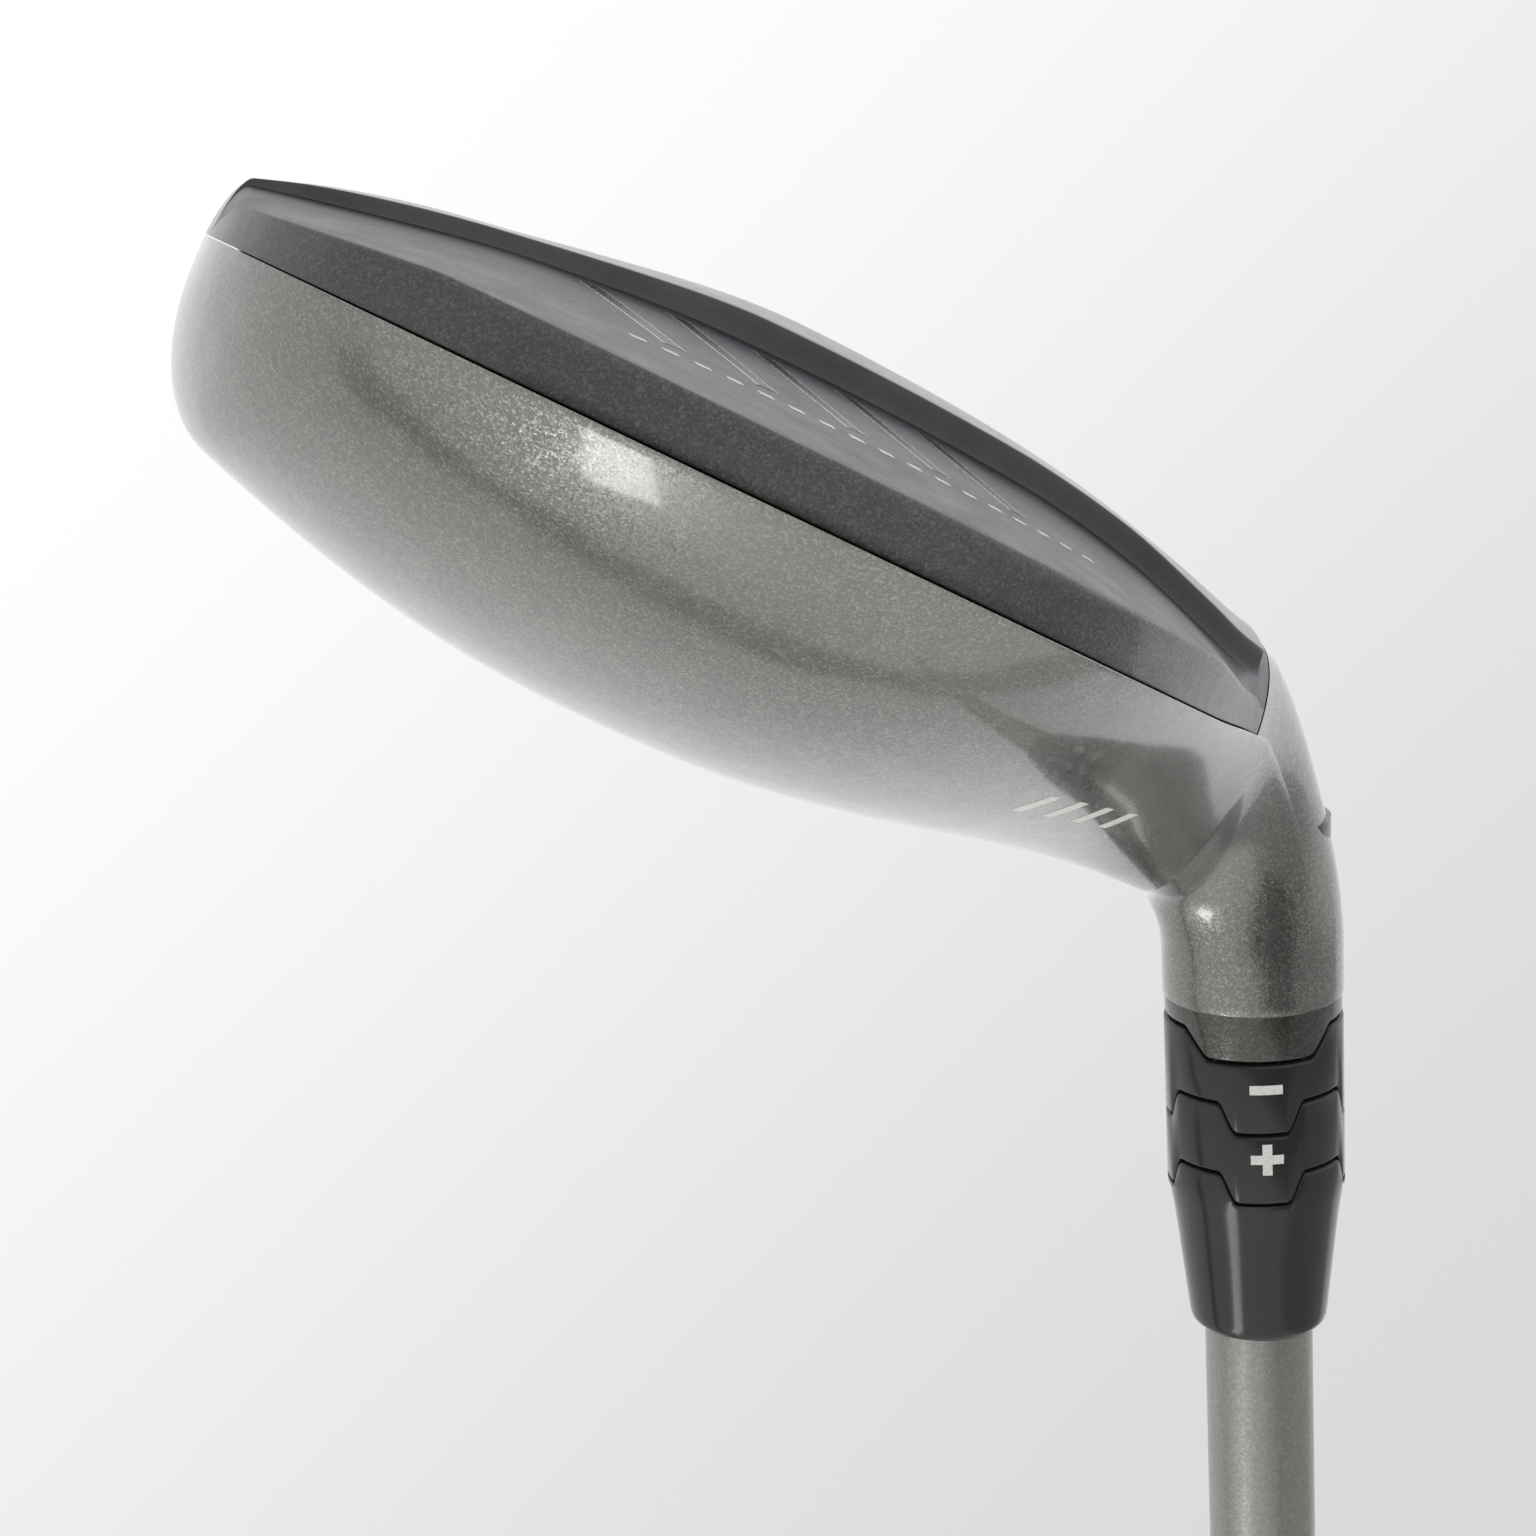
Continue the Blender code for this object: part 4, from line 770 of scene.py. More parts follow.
def shell_bm(outer, inner, cells, slots):
    """Closed shell over grid cells, with a material index from the column."""
    bm = bmesh.new()
    count = len(outer[0])
    made = {}

    def vert(skin, i, j):
        key = (skin, i, j)
        if key not in made:
            made[key] = bm.verts.new((outer, inner)[skin][i][j])
        return made[key]

    rim = {}
    for i, j in cells:
        corners = ((i, j), (i, (j + 1) % count), (i + 1, (j + 1) % count), (i + 1, j))
        for skin, order in ((0, corners), (1, corners[::-1])):
            face = bm.faces.new([vert(skin, a, b) for a, b in order])
            face.material_index = slots(j)
        for k in range(4):
            start, end = corners[k], corners[(k + 1) % 4]
            if (end, start) in rim:
                del rim[(end, start)]
            else:
                rim[(start, end)] = slots(j)
    for (start, end), index in rim.items():
        face = bm.faces.new([vert(0, *end), vert(0, *start), vert(1, *start), vert(1, *end)])
        face.material_index = index
    return bm


def solid_bm(rings):
    """Closed solid through all rings."""
    bm = bmesh.new()
    verts = [[bm.verts.new(p) for p in ring] for ring in rings]
    count = len(rings[0])
    for a, b in zip(verts, verts[1:]):
        for j in range(count):
            bm.faces.new((a[j], a[(j + 1) % count], b[(j + 1) % count], b[j]))
    bm.faces.new(verts[0][::-1])
    bm.faces.new(verts[-1])
    bmesh.ops.recalc_face_normals(bm, faces=bm.faces)
    return bm


def build_head():
    face_first = STATIONS.index(FACE_START_X)
    face_last = STATIONS.index(FACE_END_X)
    split = STATIONS.index(SOLE_SPLIT_X)
    last = len(STATIONS) - 1
    n_crown, n_sole = CROWN_COUNT, sum(SOLE_COUNTS)
    sole_start = n_crown + 1
    face_start = sole_start + n_sole + 1
    ring_size = face_start + FACE_COUNT + 1
    crown_run = range(n_crown)
    sole_run = range(sole_start, sole_start + n_sole)
    face_run = range(face_start, face_start + FACE_COUNT)
    outer = head_grid(0.0)
    wall_end = sole_start + SOLE_COUNTS[0] - 1
    shelf_end = wall_end + SOLE_COUNTS[1] + 1
    step_end = shelf_end + SOLE_COUNTS[2] - 1

    def sole_slot(j):
        if j < wall_end:
            return SKIRT_SLOT
        if j < shelf_end:
            return SHELF_SLOT
        return STEP_SLOT if j < step_end else FRONT_SLOT

    cells = []
    for i in range(last):
        cells += [(i, j) for j in crown_run]
        if i > face_last:
            cells += [(i, j) for j in face_run] + [(i, ring_size - 1)]
        if i > split:
            cells += [(i, j) for j in sole_run] + [(i, n_crown), (i, face_start - 1)]
    skin = head_grid(CROWN_WALL)
    crown = finished("crown_shell", shell_bm(outer, skin, cells, lambda j: PAINT_SLOT), [PAINT, BARE], "head",
                     "gunmetal_paint")
    inner = PORT_RADIUS + PORT_PLAY
    top = WEB_BOTTOM + LINING_OVERLAP
    cut_away(crown, tube_bm(inner, CUTTER_LOW, top, 96), BARE_SLOT)
    smooth_shade(crown)
    lining = turned_bm([(CORE_RADIUS, CORE_LOW), (CORE_RADIUS, top), (inner, top), (inner, CORE_LOW)], 96)
    lining.transform(axis_matrix())
    lining = finished("port_lining", lining, [BARE], "head", "bare_titanium")
    cut_away(lining, solid_bm(head_grid(LINING_INSET)), operation="INTERSECT")
    smooth_shade(lining)
    cells = [(i, j) for i in range(split) for j in sole_run]
    skin = head_grid(SOLE_WALL)
    sole = finished("sole_shell", shell_bm(outer, skin, cells, sole_slot), [SKIRT, SHELF, STEP, FRONT],
                    "head", "satin_smoke")
    pad = bmesh.new()
    bmesh.ops.create_cube(pad, size=1.0)
    bmesh.ops.scale(pad, verts=pad.verts, vec=(0.06, 0.04, 0.008))
    bmesh.ops.translate(pad, verts=pad.verts, vec=(0.0, 0.0, -0.004))
    cut_away(sole, pad, FRONT_SLOT)
    cut_away(sole, tube_bm(CORE_RADIUS + GAP, CUTTER_LOW, HOSEL_TOP, 96), FRONT_SLOT)
    cut_away(sole, weight_bm(WEIGHT_RADIUS + GAP, -3.0, WEIGHT_DEPTH), FRONT_SLOT)
    smooth_shade(sole)
    cells = [(i, j) for i in range(face_first, face_last) for j in face_run]
    skin = head_grid(FACE_WALL)
    face = finished("face_plate", shell_bm(outer, skin, cells, lambda j: 0), [FACE], "head", "brushed_face")
    return crown, sole, face


def weight_bm(radius, low, high):
    """Cylinder square to the sole at the weight screw, in the row frame."""
    bm = bmesh.new()
    bmesh.ops.create_cone(bm, cap_ends=True, segments=72, radius1=radius * MM, radius2=radius * MM,
                          depth=(high - low) * MM)
    bmesh.ops.translate(bm, verts=bm.verts, vec=(0.0, 0.0, 0.5 * (low + high) * MM))
    bmesh.ops.transform(bm, matrix=weight_matrix(), verts=bm.verts)
    return bm


def weight_matrix():
    seat = Vector((WEIGHT_X, WEIGHT_Y, spline(SOLE_CAMBER, WEIGHT_X))) * MM
    return Matrix.Translation(seat) @ Euler((0.0, -WEIGHT_TILT, 0.0)).to_matrix().to_4x4()


# ==== castellated hosel stack ====
def tab_height(azimuth, count, root_deg, tip_deg, height):
    """Height of a castellated edge at an angle round the hosel."""
    pitch = 360.0 / count
    off = abs((azimuth - TAB_AZIMUTH + pitch / 2) % pitch - pitch / 2)
    if off >= root_deg / 2:
        return 0.0
    if off <= tip_deg / 2:
        return height
    return height * (root_deg / 2 - off) / (root_deg / 2 - tip_deg / 2)


def soft_height(azimuth, tabs, width=2.2):
    """The same edge with rounded tab corners."""
    if not tabs:
        return 0.0
    total = sum(tab_height(azimuth + width * (k - 2) / 2, *tabs) * w
                for k, w in zip(range(5), (1, 3, 4, 3, 1)))
    return total / 12.0


def castle_bm(outside, inside, low_tabs, high_tabs, steps=180):
    """Ring with castellated ends. Each point is (radius, height, share of the high tabs' lift, share
    of the low tabs' lift), outside from top to bottom, then inside from bottom to top."""
    bm = bmesh.new()
    columns = []
    for i in range(steps):
        q = 360.0 * i / steps
        head, foot = soft_height(q, high_tabs), soft_height(q, low_tabs)
        c, s = math.cos(math.radians(q)) * MM, math.sin(math.radians(q)) * MM
        columns.append([bm.verts.new((r * c, r * s, (z + head * hi + foot * lo) * MM))
                        for r, z, hi, lo in outside + inside])
    for i, column in enumerate(columns):
        other = columns[(i + 1) % steps]
        for k in range(len(column)):
            m = (k + 1) % len(column)
            bm.faces.new([column[k], column[m], other[m], other[k]])
    return bm


def rounded_end(r, z, hi, lo, up, bevel=0.26):
    """Bevelled outer corner of a castellated end; up is 1 for the top end and -1 for the bottom."""
    points = []
    for k in range(4):
        q = math.radians(90.0 * k / 3)
        points.append((r - bevel + bevel * math.sin(q), z - up * bevel * (1 - math.cos(q)), hi, lo))
    return points if up > 0 else points[::-1]


def cylinder_patch(bm, radius, az0, az1, low, high, thick):
    """Thin raised patch on a cylinder about local Z."""
    count = max(2, int(abs(az1 - az0) / 1.5))
    rows = []
    for i in range(count + 1):
        q = math.radians(az0 + (az1 - az0) * i / count)
        c, s = math.cos(q) * MM, math.sin(q) * MM
        rows.append([bm.verts.new((r * c, r * s, z * MM))
                     for r, z in ((radius - 0.05, low), (radius + thick, low), (radius + thick, high),
                                  (radius - 0.05, high))])
    for a, b in zip(rows, rows[1:]):
        for k in range(4):
            m = (k + 1) % 4
            bm.faces.new([a[k], a[m], b[m], b[k]])
    bm.faces.new(rows[0])
    bm.faces.new(rows[-1][::-1])


MARK_AZIMUTH = 107.0
MARK_LONG = 2.8
MARK_WIDE = 0.83
MINUS_AT = 44.0
PLUS_AT = 50.3


def build_stack():
    """Collar, cogs and ferrule, all measured along the shaft axis."""
    outside = (rounded_end(COLLAR_RADIUS, SEAM_1, 1, 0, 1)
               + [(COLLAR_RADIUS, HOSEL_TOP, 0, 0), (COLLAR_RADIUS, HOSEL_TOP - 2.2, 0, 0),
                  (CORE_RADIUS - 0.5, HOSEL_TOP - 3.0, 0, 0), (CORE_RADIUS - 0.5, WEB_BOTTOM + 0.6, 0, 0)])
    inside = [(SCREW_RADIUS + 0.5, WEB_BOTTOM + 0.6, 0, 0), (SCREW_RADIUS + 0.5, WEB_TOP, 0, 0),
              (NOSE_BORE, WEB_TOP, 0, 0), (NOSE_BORE, NOSE_TOP - GAP, 0, 0),
              (BORE_RADIUS, NOSE_TOP - GAP, 0, 0), (BORE_RADIUS, SEAM_1 - 0.3, 1, 0),
              (BORE_RADIUS + 0.15, SEAM_1, 1, 0)]
    collar = finished("hosel_collar", castle_bm(outside, inside, None, TABS_1), [COLLAR], "head",
                      "gunmetal_paint", 38.0)
    on_axis(collar, 0.0)
    trim_radius = 5.75
    lining = turned_bm([(trim_radius, WEB_BOTTOM + 0.55), (SCREW_RADIUS + 0.5, WEB_BOTTOM + 0.55),
                        (SCREW_RADIUS + 0.5, WEB_BOTTOM), (trim_radius, WEB_BOTTOM)], 96)
    ledge = finished("screw_ledge", lining, [BARE], "head", "gunmetal_paint")
    on_axis(ledge, 0.0)

    for name, low, high, low_tabs, high_tabs, body in (
            ("cog_lower_ring", SEAM_1 + GAP, SEAM_2, TABS_1, TABS_2, "lower_cog"),
            ("cog_upper_ring", SEAM_2 + GAP, SEAM_3, TABS_2, TABS_2, "upper_cog")):
        outside = rounded_end(COG_RADIUS, high, 1, 0, 1) + rounded_end(COG_RADIUS, low, 0, 1, -1)
        inside = [(BORE_RADIUS + 0.2, low, 0, 1), (BORE_RADIUS, low + 0.3, 0, 1),
                  (BORE_RADIUS, high - 0.3, 1, 0), (BORE_RADIUS + 0.2, high, 1, 0)]
        ring = finished(name, castle_bm(outside, inside, low_tabs, high_tabs), [PLASTIC], body,
                        "gloss_black_plastic", 38.0)
        on_axis(ring, 0.0)
    low = SEAM_3 + GAP
    end = FERRULE_END
    outside = [(5.05, end, 0, 0), (5.35, end - 0.03, 0, 0), (5.65, end - 0.14, 0, 0),
               (5.87, end - 0.36, 0, 0), (6.0, end - 0.7, 0, 0), (6.08, end - 1.3, 0, 0),
               (6.32, end - 3.4, 0, 0),
               (6.62, end - 6.0, 0, 0), (6.92, end - 8.6, 0, 0), (7.2, end - 10.8, 0, 0),
               (7.5, end - 12.7, 0, 0), (7.64, end - 13.6, 0, 0), (COG_RADIUS, end - 14.4, 0, 0.3)]
    outside += rounded_end(COG_RADIUS, low, 0, 1, -1)
    shoulder = SLEEVE_TOP + GAP + TAB_2
    inside = [(BORE_RADIUS, low, 0, 1), (BORE_RADIUS, shoulder, 0, 0), (TIP_RADIUS + GAP, shoulder, 0, 0),
              (TIP_RADIUS + GAP, end - 0.4, 0, 0), (TIP_RADIUS + 0.12, end - 0.3, 0, 0),
              (TIP_RADIUS + 0.12, end, 0, 0)]
    ferrule = finished("ferrule_shell", castle_bm(outside, inside, TABS_2, None), [PLASTIC], "club",
                       "gloss_black_plastic", 38.0)
    on_axis(ferrule, 0.0)

    half_long = math.degrees(0.5 * MARK_LONG / COG_RADIUS)
    half_wide = math.degrees(0.5 * MARK_WIDE / COG_RADIUS)
    bm = bmesh.new()
    cylinder_patch(bm, COG_RADIUS, MARK_AZIMUTH - half_long, MARK_AZIMUTH + half_long,
                   MINUS_AT - 0.5 * MARK_WIDE, MINUS_AT + 0.5 * MARK_WIDE, 0.015)
    on_axis(finished("minus_mark", bm, [WHITE], "lower_cog", "gloss_black_plastic"), 0.0)
    bm = bmesh.new()
    cylinder_patch(bm, COG_RADIUS, MARK_AZIMUTH - half_long, MARK_AZIMUTH + half_long,
                   PLUS_AT - 0.5 * MARK_WIDE, PLUS_AT + 0.5 * MARK_WIDE, 0.015)
    for side in (-1, 1):
        cylinder_patch(bm, COG_RADIUS, MARK_AZIMUTH - half_wide, MARK_AZIMUTH + half_wide,
                       PLUS_AT + side * 0.5 * MARK_WIDE, PLUS_AT + side * 0.5 * MARK_LONG, 0.015)
    on_axis(finished("plus_mark", bm, [WHITE], "upper_cog", "gloss_black_plastic"), 0.0)


# ==== markings on the head ====
def strip_bm(bm, place, u0, u1, v0, v1, slant, lift, count=6):
    """Thin slanted bar over a surface; place(u, v) gives the point and outward normal in metres."""
    rows = []
    for i in range(count + 1):
        v = v0 + (v1 - v0) * i / count
        shift = slant * (i / count)
        row = []
        for k in range(4):
            u = u0 + (u1 - u0) * k / 3 + shift
            p, n = place(u, v)
            row.append((p - n * 0.00005, p + n * lift * MM))
        rows.append([[bm.verts.new(q) for q in pair] for pair in row])
    for a, b in zip(rows, rows[1:]):
        for k in range(3):
            bm.faces.new([a[k][1], a[k + 1][1], b[k + 1][1], b[k][1]])
            bm.faces.new([a[k][0], b[k][0], b[k + 1][0], a[k + 1][0]])
        bm.faces.new([a[0][0], a[0][1], b[0][1], b[0][0]])
        bm.faces.new([a[3][1], a[3][0], b[3][0], b[3][1]])
    for row, order in ((rows[0], 1), (rows[-1], -1)):
        for k in range(3):
            bm.faces.new([row[k][0], row[k + 1][0], row[k + 1][1], row[k][1]][::order])


def shelf_place(x, share):
    """Point on the rear shelf: share 0 at the step, 1 at the skirt wall."""
    def point(px, ps):
        sole = head_ring(px, 0.0)[1]
        first = SOLE_COUNTS[0]
        last = first + SOLE_COUNTS[1]
        t = last + (first - last) * ps
        k = int(min(t, last - 1e-6))
        return sole[k].lerp(sole[k + 1], t - k)
    p = point(x, share)
    du = point(x + 0.2, share) - point(x - 0.2, share)
    dv = point(x, share + 0.02) - point(x, share - 0.02)
    n = du.cross(dv).normalized()
    if n.z > 0:
        n = -n
    return p * MM, n


def crown_place(x, share):
    """Point on the crown: share 0 at the face edge, 1 at the rear seam."""
    def point(px, ps):
        crown = head_ring(px, 0.0)[0]
        t = ps * (len(crown) - 1)
        k = min(int(t), len(crown) - 2)
        return crown[k].lerp(crown[k + 1], t - k)
    p = point(x, share)
    du = point(x + 0.2, share) - point(x - 0.2, share)
    dv = point(x, share + 0.01) - point(x, share - 0.01)
    n = du.cross(dv).normalized()
    if n.z < 0:
        n = -n
    return p * MM, n


def build_markings():
    """Plain bars and dashes, with no lettering."""
    bm = bmesh.new()
    for k in range(5):
        x = -21.0 + 6.6 * k
        strip_bm(bm, shelf_place, x, x + 1.6, 0.08, 0.52, 4.2, 0.02)
    finished("shelf_bars", bm, [DARK_MARK], "head", "satin_smoke")
    bm = bmesh.new()
    for k in range(5):
        x = -21.0 + 6.6 * k
        strip_bm(bm, shelf_place, x - 0.05, x + 0.2, 0.07, 0.53, 4.2, 0.03)
        strip_bm(bm, shelf_place, x + 1.5, x + 1.65, 0.07, 0.53, 4.2, 0.03)
    for k in range(17):
        x = -19.5 + 2.2 * k
        strip_bm(bm, shelf_place, x, x + 1.1, 0.60, 0.63, 0.1, 0.02, 1)
    finished("shelf_foil", bm, [FOIL], "head", "satin_smoke")
    bm = bmesh.new()
    for k in range(4):
        x = 21.5 + 3.4 * k
        strip_bm(bm, crown_place, x, x + 1.1, 0.60, 0.67, 1.6, 0.015)
    finished("crown_bars", bm, [WHITE], "head", "gunmetal_paint")


# ==== screws, sleeve, shaft and grip ====
def hex_cutter(across, low, high):
    bm = bmesh.new()
    radius = across / math.sqrt(3.0) * MM
    bmesh.ops.create_cone(bm, cap_ends=True, segments=6, radius1=radius, radius2=radius,
                          depth=(high - low) * MM)
    bmesh.ops.translate(bm, verts=bm.verts, vec=(0.0, 0.0, 0.5 * (low + high) * MM))
    return bm


def thread_points(radius, low, high, pitch=0.8, depth=0.28):
    """Profile of a rolled thread as stacked ridges, top to bottom."""
    points = []
    z = high
    while z - pitch > low:
        points += [(radius - depth, z), (radius - depth, z - 0.15 * pitch), (radius, z - 0.45 * pitch),
                   (radius, z - 0.6 * pitch), (radius - depth, z - 0.9 * pitch)]
        z -= pitch
    return points + [(radius - depth, low)]


def build_fasteners():
    base = SCREW_HEAD_BOTTOM
    head_top = SCREW_HEAD_TOP
    r = SCREW_HEAD_RADIUS
    knurl = [(r, head_top - 0.2), (r, base + 0.5), (r - 0.15, base + 0.2), (r - 0.45, base)]
    profile = ([(0.0, SCREW_TOP), (SCREW_RADIUS - 0.6, SCREW_TOP), (SCREW_RADIUS - 0.28, SCREW_TOP - 0.5)]
               + thread_points(SCREW_RADIUS, head_top + 1.6, SCREW_TOP - 0.5)
               + [(SCREW_RADIUS - 0.2, head_top + 1.5), (SCREW_RADIUS - 0.2, head_top), (r - 0.2, head_top)]
               + knurl + [(0.0, base)])
    screw = finished("screw_body", turned_bm(profile, 72, False), [STEEL], "screw", "screw_steel")
    cut_away(screw, hex_cutter(SCREW_HEX, base - 1.0, base + 2.4))
    smooth_shade(screw)
    on_axis(screw, 0.0)
    length = WEIGHT_DEPTH - WEIGHT_RECESS - GAP
    r = WEIGHT_RADIUS
    profile = [(0.0, length), (r - 0.4, length), (r, length - 0.4), (r, 0.45), (r - 0.12, 0.15),
               (r - 0.4, 0.0), (r - 1.1, 0.0), (r - 1.15, 0.12), (r - 1.35, 0.12), (r - 1.4, 0.0), (0.0, 0.0)]
    weight = finished("weight_screw", turned_bm(profile, 72, False), [STEEL], "head", "screw_steel")
    cut_away(weight, hex_cutter(WEIGHT_HEX, -1.0, 2.0))
    smooth_shade(weight)
    lift = Matrix.Translation(Vector((0.0, 0.0, WEIGHT_RECESS * MM)))
    weight.matrix_world = weight_matrix() @ lift


def ring_profile(outer, inner, low, high, bevel):
    return [(outer - bevel, high), (outer, high - bevel), (outer, low + bevel), (outer - bevel, low),
            (inner + bevel, low), (inner, low + bevel), (inner, high - bevel), (inner + bevel, high)]


def build_sleeve():
    r = SLEEVE_RADIUS
    groove = CLIP_RADIUS - GAP
    socket = TIP_RADIUS + GAP
    thread = SCREW_RADIUS + GAP
    base = SLEEVE_BOTTOM
    profile = [(r - 0.15, SLEEVE_TOP), (r, SLEEVE_TOP - 0.15), (r, CLIP_TOP + GAP + 0.1),
               (r - 0.1, CLIP_TOP + GAP), (groove, CLIP_TOP + GAP), (groove, CLIP_BOTTOM - GAP),
               (r, CLIP_BOTTOM - GAP), (r, NOSE_TOP + NOSE_CONE), (NOSE_RADIUS, NOSE_TOP),
               (NOSE_RADIUS, base + NOSE_CHAMFER), (NOSE_RADIUS - NOSE_CHAMFER, base), (thread + 0.3, base),
               (thread, base + 0.3), (thread, THREAD_TOP), (socket, THREAD_TOP), (socket, SLEEVE_TOP)]
    sleeve = finished("sleeve_body", turned_bm(profile, 96), [ALUMINIUM], "club", "anodised_aluminium")
    on_axis(sleeve, 0.0)
    for name, radius, low, high in (("washer_body", WASHER_RADIUS, SCREW_HEAD_TOP + GAP, WEB_BOTTOM - GAP),
                                    ("keeper_ring", RING_RADIUS, WEB_TOP + GAP, SLEEVE_BOTTOM - GAP)):
        ring = turned_bm(ring_profile(radius, thread, low, high, 0.12), 72)
        on_axis(finished(name, ring, [STEEL], "screw", "screw_steel"), 0.0)


def build_shaft():
    r0, r1, w = TIP_RADIUS, BUTT_RADIUS, SHAFT_WALL
    end = CLUB_LENGTH - CAP_THICKNESS - 2 * GAP
    profile = [(r1, end), (r1, BUTT_PARALLEL), (r0, TIP_PARALLEL), (r0, FERRULE_END + 1.0),
               (r0, SHAFT_TIP + 0.3), (r0 - 0.3, SHAFT_TIP), (r0 - w, SHAFT_TIP), (r0 - w, TIP_PARALLEL),
               (r1 - w, BUTT_PARALLEL),
               (r1 - w, end)]
    on_axis(finished("shaft_tube", turned_bm(profile, 128), [SHAFT], "club", "satin_silver_shaft"), 0.0)

    start = GRIP_START
    length = end - start
    outer = [(GRIP_BUTT_RADIUS, length), (GRIP_BUTT_RADIUS, length - GRIP_STRAIGHT)]
    steps = 40
    for k in range(1, steps):
        q = k / steps
        swell = GRIP_BUTT_RADIUS + (GRIP_MOUTH_RADIUS + 0.5 - GRIP_BUTT_RADIUS) * q ** 0.8 - 0.04
        outer.append((swell, (length - GRIP_STRAIGHT) * (1 - q) + GRIP_LIP * q))
    m = GRIP_MOUTH_RADIUS
    outer += [(m + 0.4, 2.4), (m + 0.3, 1.6), (m, 0.8), (m - 0.4, 0.25), (m - 0.9, 0.0)]
    share = (start - TIP_PARALLEL) / (BUTT_PARALLEL - TIP_PARALLEL)
    mouth = r0 + (r1 - r0) * share + TAPE_WALL + 2 * TAPE_GAP
    butt = r1 + TAPE_WALL + 2 * TAPE_GAP
    inner = [(mouth, 0.0), (butt, BUTT_PARALLEL - start), (butt, length)]
    on_axis(finished("grip_body", turned_bm(outer + inner, 128), [RUBBER], "club", "black_rubber"), start)

    t = CAP_THICKNESS
    e = GRIP_BUTT_RADIUS
    v = VENT_RADIUS
    profile = [(e - 1.6, t), (e - 1.1, t - 0.1), (e - 0.6, t - 0.38), (e - 0.28, t - 0.78), (e, t - 1.25),
               (e, 0.2), (e - 0.15, 0.0), (v, 0.0), (v, t - 0.4), (v + 0.12, t - 0.1), (v + 0.4, t),
               (3.6, t), (3.75, t - 0.25), (4.15, t - 0.25), (4.3, t), (9.2, t), (9.35, t - 0.25),
               (9.75, t - 0.25), (9.9, t)]
    cap = on_axis(finished("butt_cap", turned_bm(profile, 128), [CAP], "club", "cap_rubber"), CLUB_LENGTH - t)
    bpy.context.view_layer.update()
    cap.data.transform(cap.matrix_world)
    cap.matrix_world = Matrix.Identity(4)


# ==== assembly ====
build_head()
build_stack()
build_markings()
build_fasteners()
build_sleeve()
build_shaft()

REPLACED = {
    "crown_shell": ["crown_body"], "sole_shell": ["sole_body"], "face_plate": ["face_cup"],
    "screw_body": ["hosel_screw"], "weight_screw": ["sole_weight"], "washer_body": ["screw_washer"],
    "keeper_ring": ["screw_ring"], "cog_lower_ring": ["cog_lower"], "cog_upper_ring": ["cog_upper"],
    "ferrule_shell": ["ferrule"], "sleeve_body": ["adapter_sleeve"], "shaft_tube": ["shaft"],
    "grip_body": ["grip"], "butt_cap": ["grip_cap"],
}
for obj, body, slot_name in PIECES:
    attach(obj, body)
    for node in REPLACED.get(obj.name, []):
        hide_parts(node)

KEPT = {"strut_toe": BARE, "strut_heel": BARE, "tungsten_toe": DENSE, "tungsten_heel": DENSE,
        "cog_clip": STEEL, "grip_tape": TAPE}
for name, mat in KEPT.items():
    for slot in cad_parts[name].material_slots:
        slot.material = mat


# ==== floor, light and camera ====
def floor_material():
    g = Graph("studio_floor")
    cloud = g.noise(3.0, 3.0)
    g.shader.inputs["Emission Color"].default_value = rgb(1.0, 1.0, 1.0)
    g.shader.inputs["Emission Strength"].default_value = 0.35
    return g.set(color=g.blend(cloud, rgb(0.80, 0.80, 0.80), rgb(0.84, 0.84, 0.84)), rough=0.8)


FLOOR_DROP = 0.45
FLOOR_HALF = 1.15
FLOOR_MID = (0.25, 0.15)
floor_mesh = bpy.data.meshes.new("floor")
floor_mesh.from_pydata([(FLOOR_MID[0] + sx * FLOOR_HALF, FLOOR_MID[1] + sy * FLOOR_HALF, -FLOOR_DROP)
                        for sx, sy in ((-1, -1), (1, -1), (1, 1), (-1, 1))], [], [(0, 1, 2, 3)])
floor_mesh.materials.append(floor_material())
floor = bpy.data.objects.new("floor", floor_mesh)
bpy.context.scene.collection.objects.link(floor)
floor.visible_glossy = False


def area_light(name, place, target, size, energy):
    data = bpy.data.lights.new(name, "AREA")
    data.shape = "RECTANGLE"
    data.size, data.size_y = size
    data.energy = energy
    obj = bpy.data.objects.new(name, data)
    bpy.context.scene.collection.objects.link(obj)
    obj.location = place
    aim = (Vector(target) - Vector(place)).normalized()
    obj.rotation_euler = aim.to_track_quat("-Z", "Y").to_euler()
    return obj


area_light("ceiling_lamp", (-0.22, 0.40, 1.20), (-0.01, 0.02, 0.02), (0.22, 0.40), 1.7)

world = bpy.data.worlds.new("studio")
bpy.context.scene.world = world
world.use_nodes = True
tree = world.node_tree
nodes = tree.nodes
back = nodes["Background"]
out = nodes["World Output"]


def world_node(kind, **values):
    node = nodes.new(kind)
    for key, value in values.items():
        setattr(node, key, value)
    return node


def world_math(operation, a, b=0.0):
    node = world_node("ShaderNodeMath", operation=operation)
    for value, socket in zip((a, b), node.inputs):
        if hasattr(value, "is_output"):
            tree.links.new(value, socket)
        else:
            socket.default_value = value
    return node.outputs[0]


def world_ramp(value, low, high, dark, light):
    node = world_node("ShaderNodeMapRange", interpolation_type="SMOOTHSTEP")
    for v, socket in zip((value, low, high, dark, light), node.inputs):
        if hasattr(v, "is_output"):
            tree.links.new(v, socket)
        else:
            socket.default_value = v
    return node.outputs[0]


def along(vector):
    node = world_node("ShaderNodeVectorMath", operation="DOT_PRODUCT")
    tree.links.new(direction, node.inputs[0])
    node.inputs[1].default_value = vector
    return node.outputs["Value"]


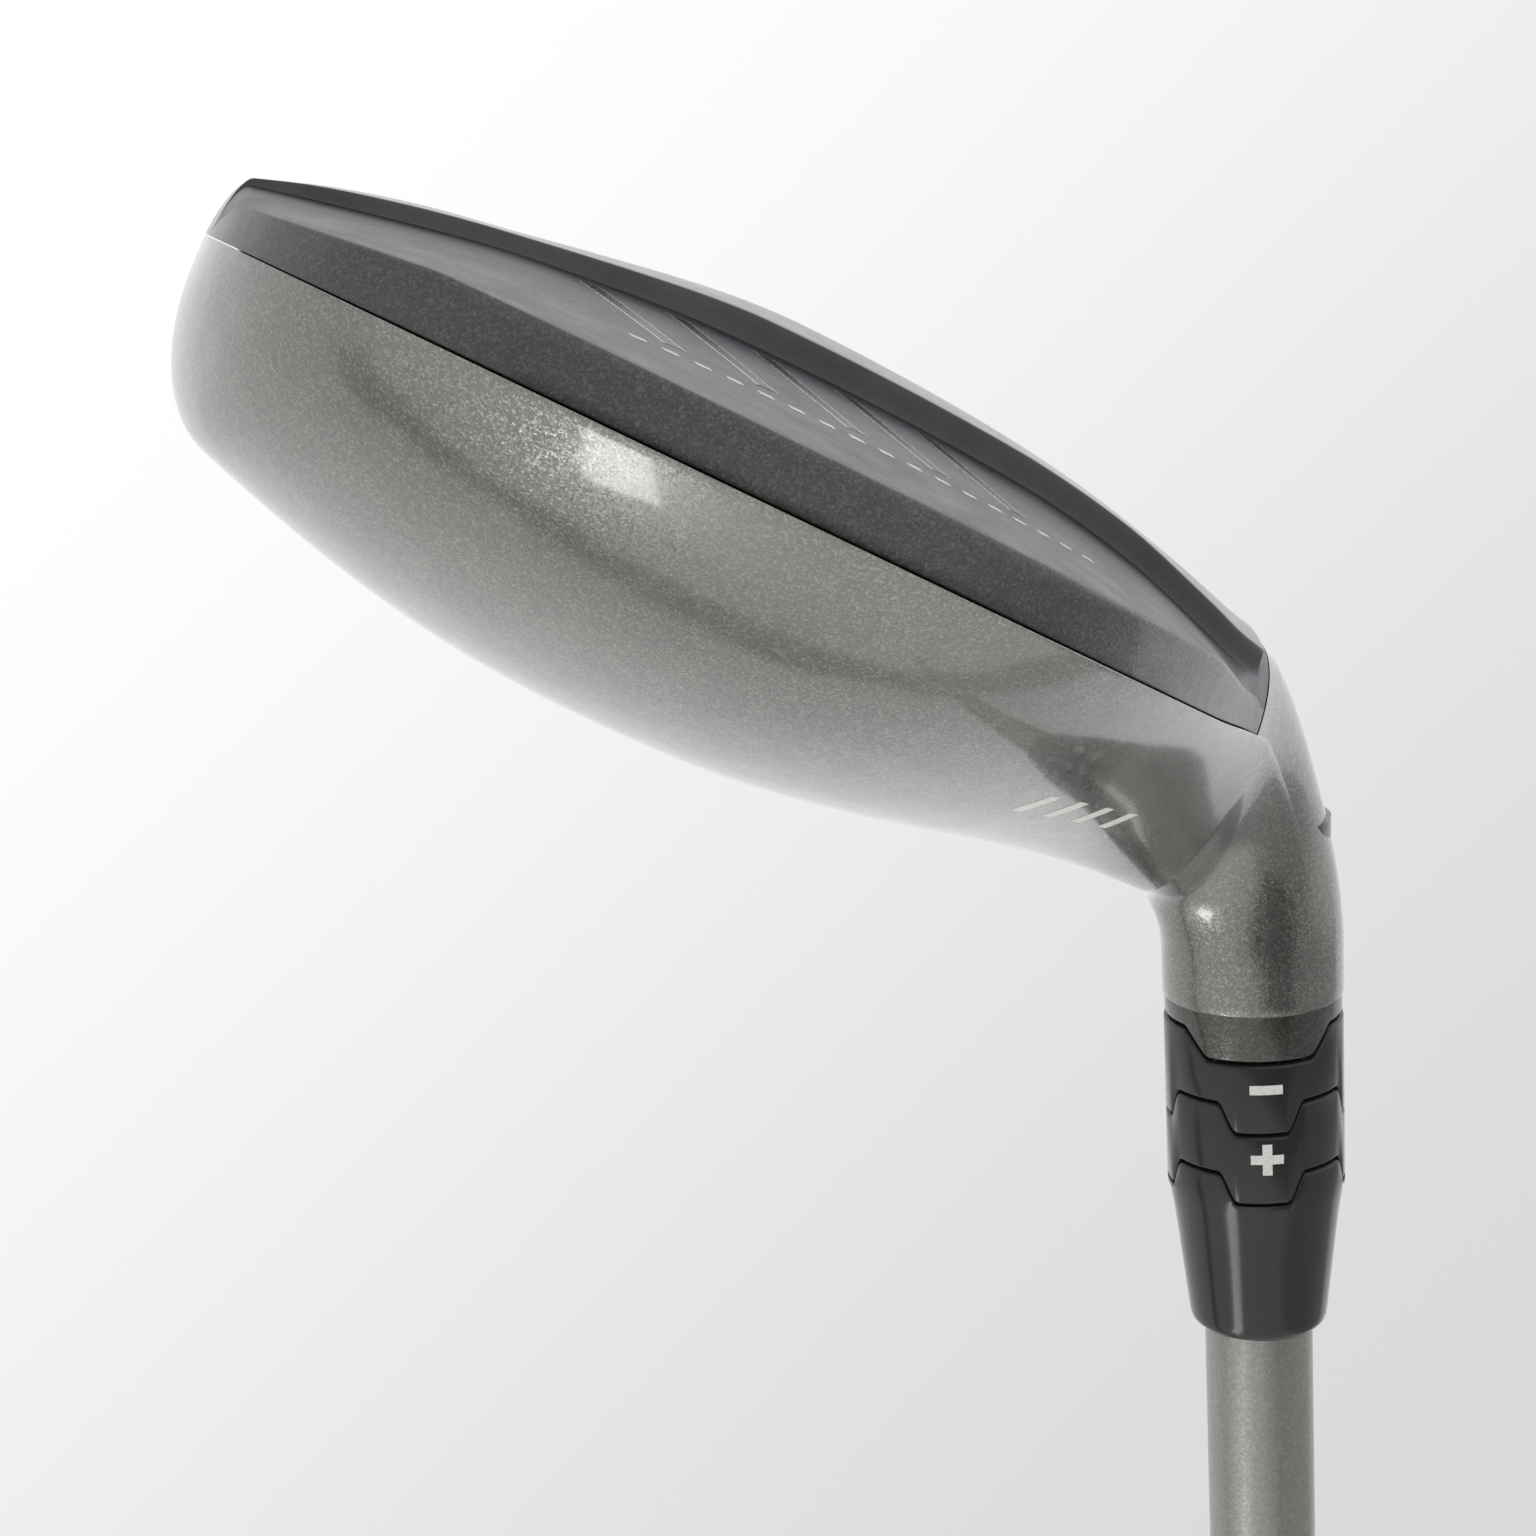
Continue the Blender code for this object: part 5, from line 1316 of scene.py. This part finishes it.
# a white room beyond the club, a dark one behind the viewer, with an uneven border between them
direction = world_node("ShaderNodeTexCoord").outputs["Generated"]
wave = world_node("ShaderNodeTexNoise")
wave.inputs["Scale"].default_value = 3.2
wave.inputs["Detail"].default_value = 1.5
tree.links.new(direction, wave.inputs["Vector"])
edge = world_math("ADD", along((0.0, 1.0, 0.0)), world_math("MULTIPLY", wave.outputs["Fac"], 0.24))
wall = world_ramp(edge, -0.16, -0.08, 0.92, 0.0)
overhead = world_ramp(along((0.0, 0.0, 1.0)), 0.28, 0.50, 0.12, 1.05)
ceiling = world_math("MULTIPLY", overhead, world_ramp(edge, -0.03, 0.05, 0.14, 1.0))
toe_side = world_ramp(along((-1.0, 0.0, 0.0)), 0.62, 0.74, 0.0, 0.80)
heel_side = world_ramp(along((1.0, 0.0, 0.0)), 0.45, 0.60, 0.0, 0.45)
below = world_ramp(along((0.0, 0.0, -1.0)), 0.10, 0.40, 0.0, 1.05)
level = world_math("MAXIMUM", wall, ceiling)
for part in (toe_side, heel_side, below):
    level = world_math("MAXIMUM", level, part)
tree.links.new(level, back.inputs["Strength"])
back.inputs["Color"].default_value = rgb(1.0, 1.0, 1.0)
seen = world_node("ShaderNodeBackground")
seen.inputs["Color"].default_value = rgb(1.0, 0.995, 0.995)
tree.links.new(world_ramp(along((0.884, 0.328, 0.331)), -0.40, 0.40, 1.03, 0.70), seen.inputs["Strength"])
path = world_node("ShaderNodeLightPath")
chooser = world_node("ShaderNodeMixShader")
tree.links.new(path.outputs["Is Camera Ray"], chooser.inputs[0])
tree.links.new(back.outputs[0], chooser.inputs[1])
tree.links.new(seen.outputs[0], chooser.inputs[2])
tree.links.new(chooser.outputs[0], out.inputs["Surface"])

bpy.context.scene.view_settings.view_transform = "Standard"

camera_data = bpy.data.cameras.new("camera")
camera_data.lens = 60.94
camera_data.sensor_width = 36.0
camera_data.clip_start = 0.01
camera_data.clip_end = 50.0
camera = bpy.data.objects.new("camera", camera_data)
bpy.context.scene.collection.objects.link(camera)
camera.location = (-0.053, 0.18822, 0.0129)
camera.rotation_euler = [math.radians(angle) for angle in (-95.791, 25.485, 16.025)]
bpy.context.scene.camera = camera
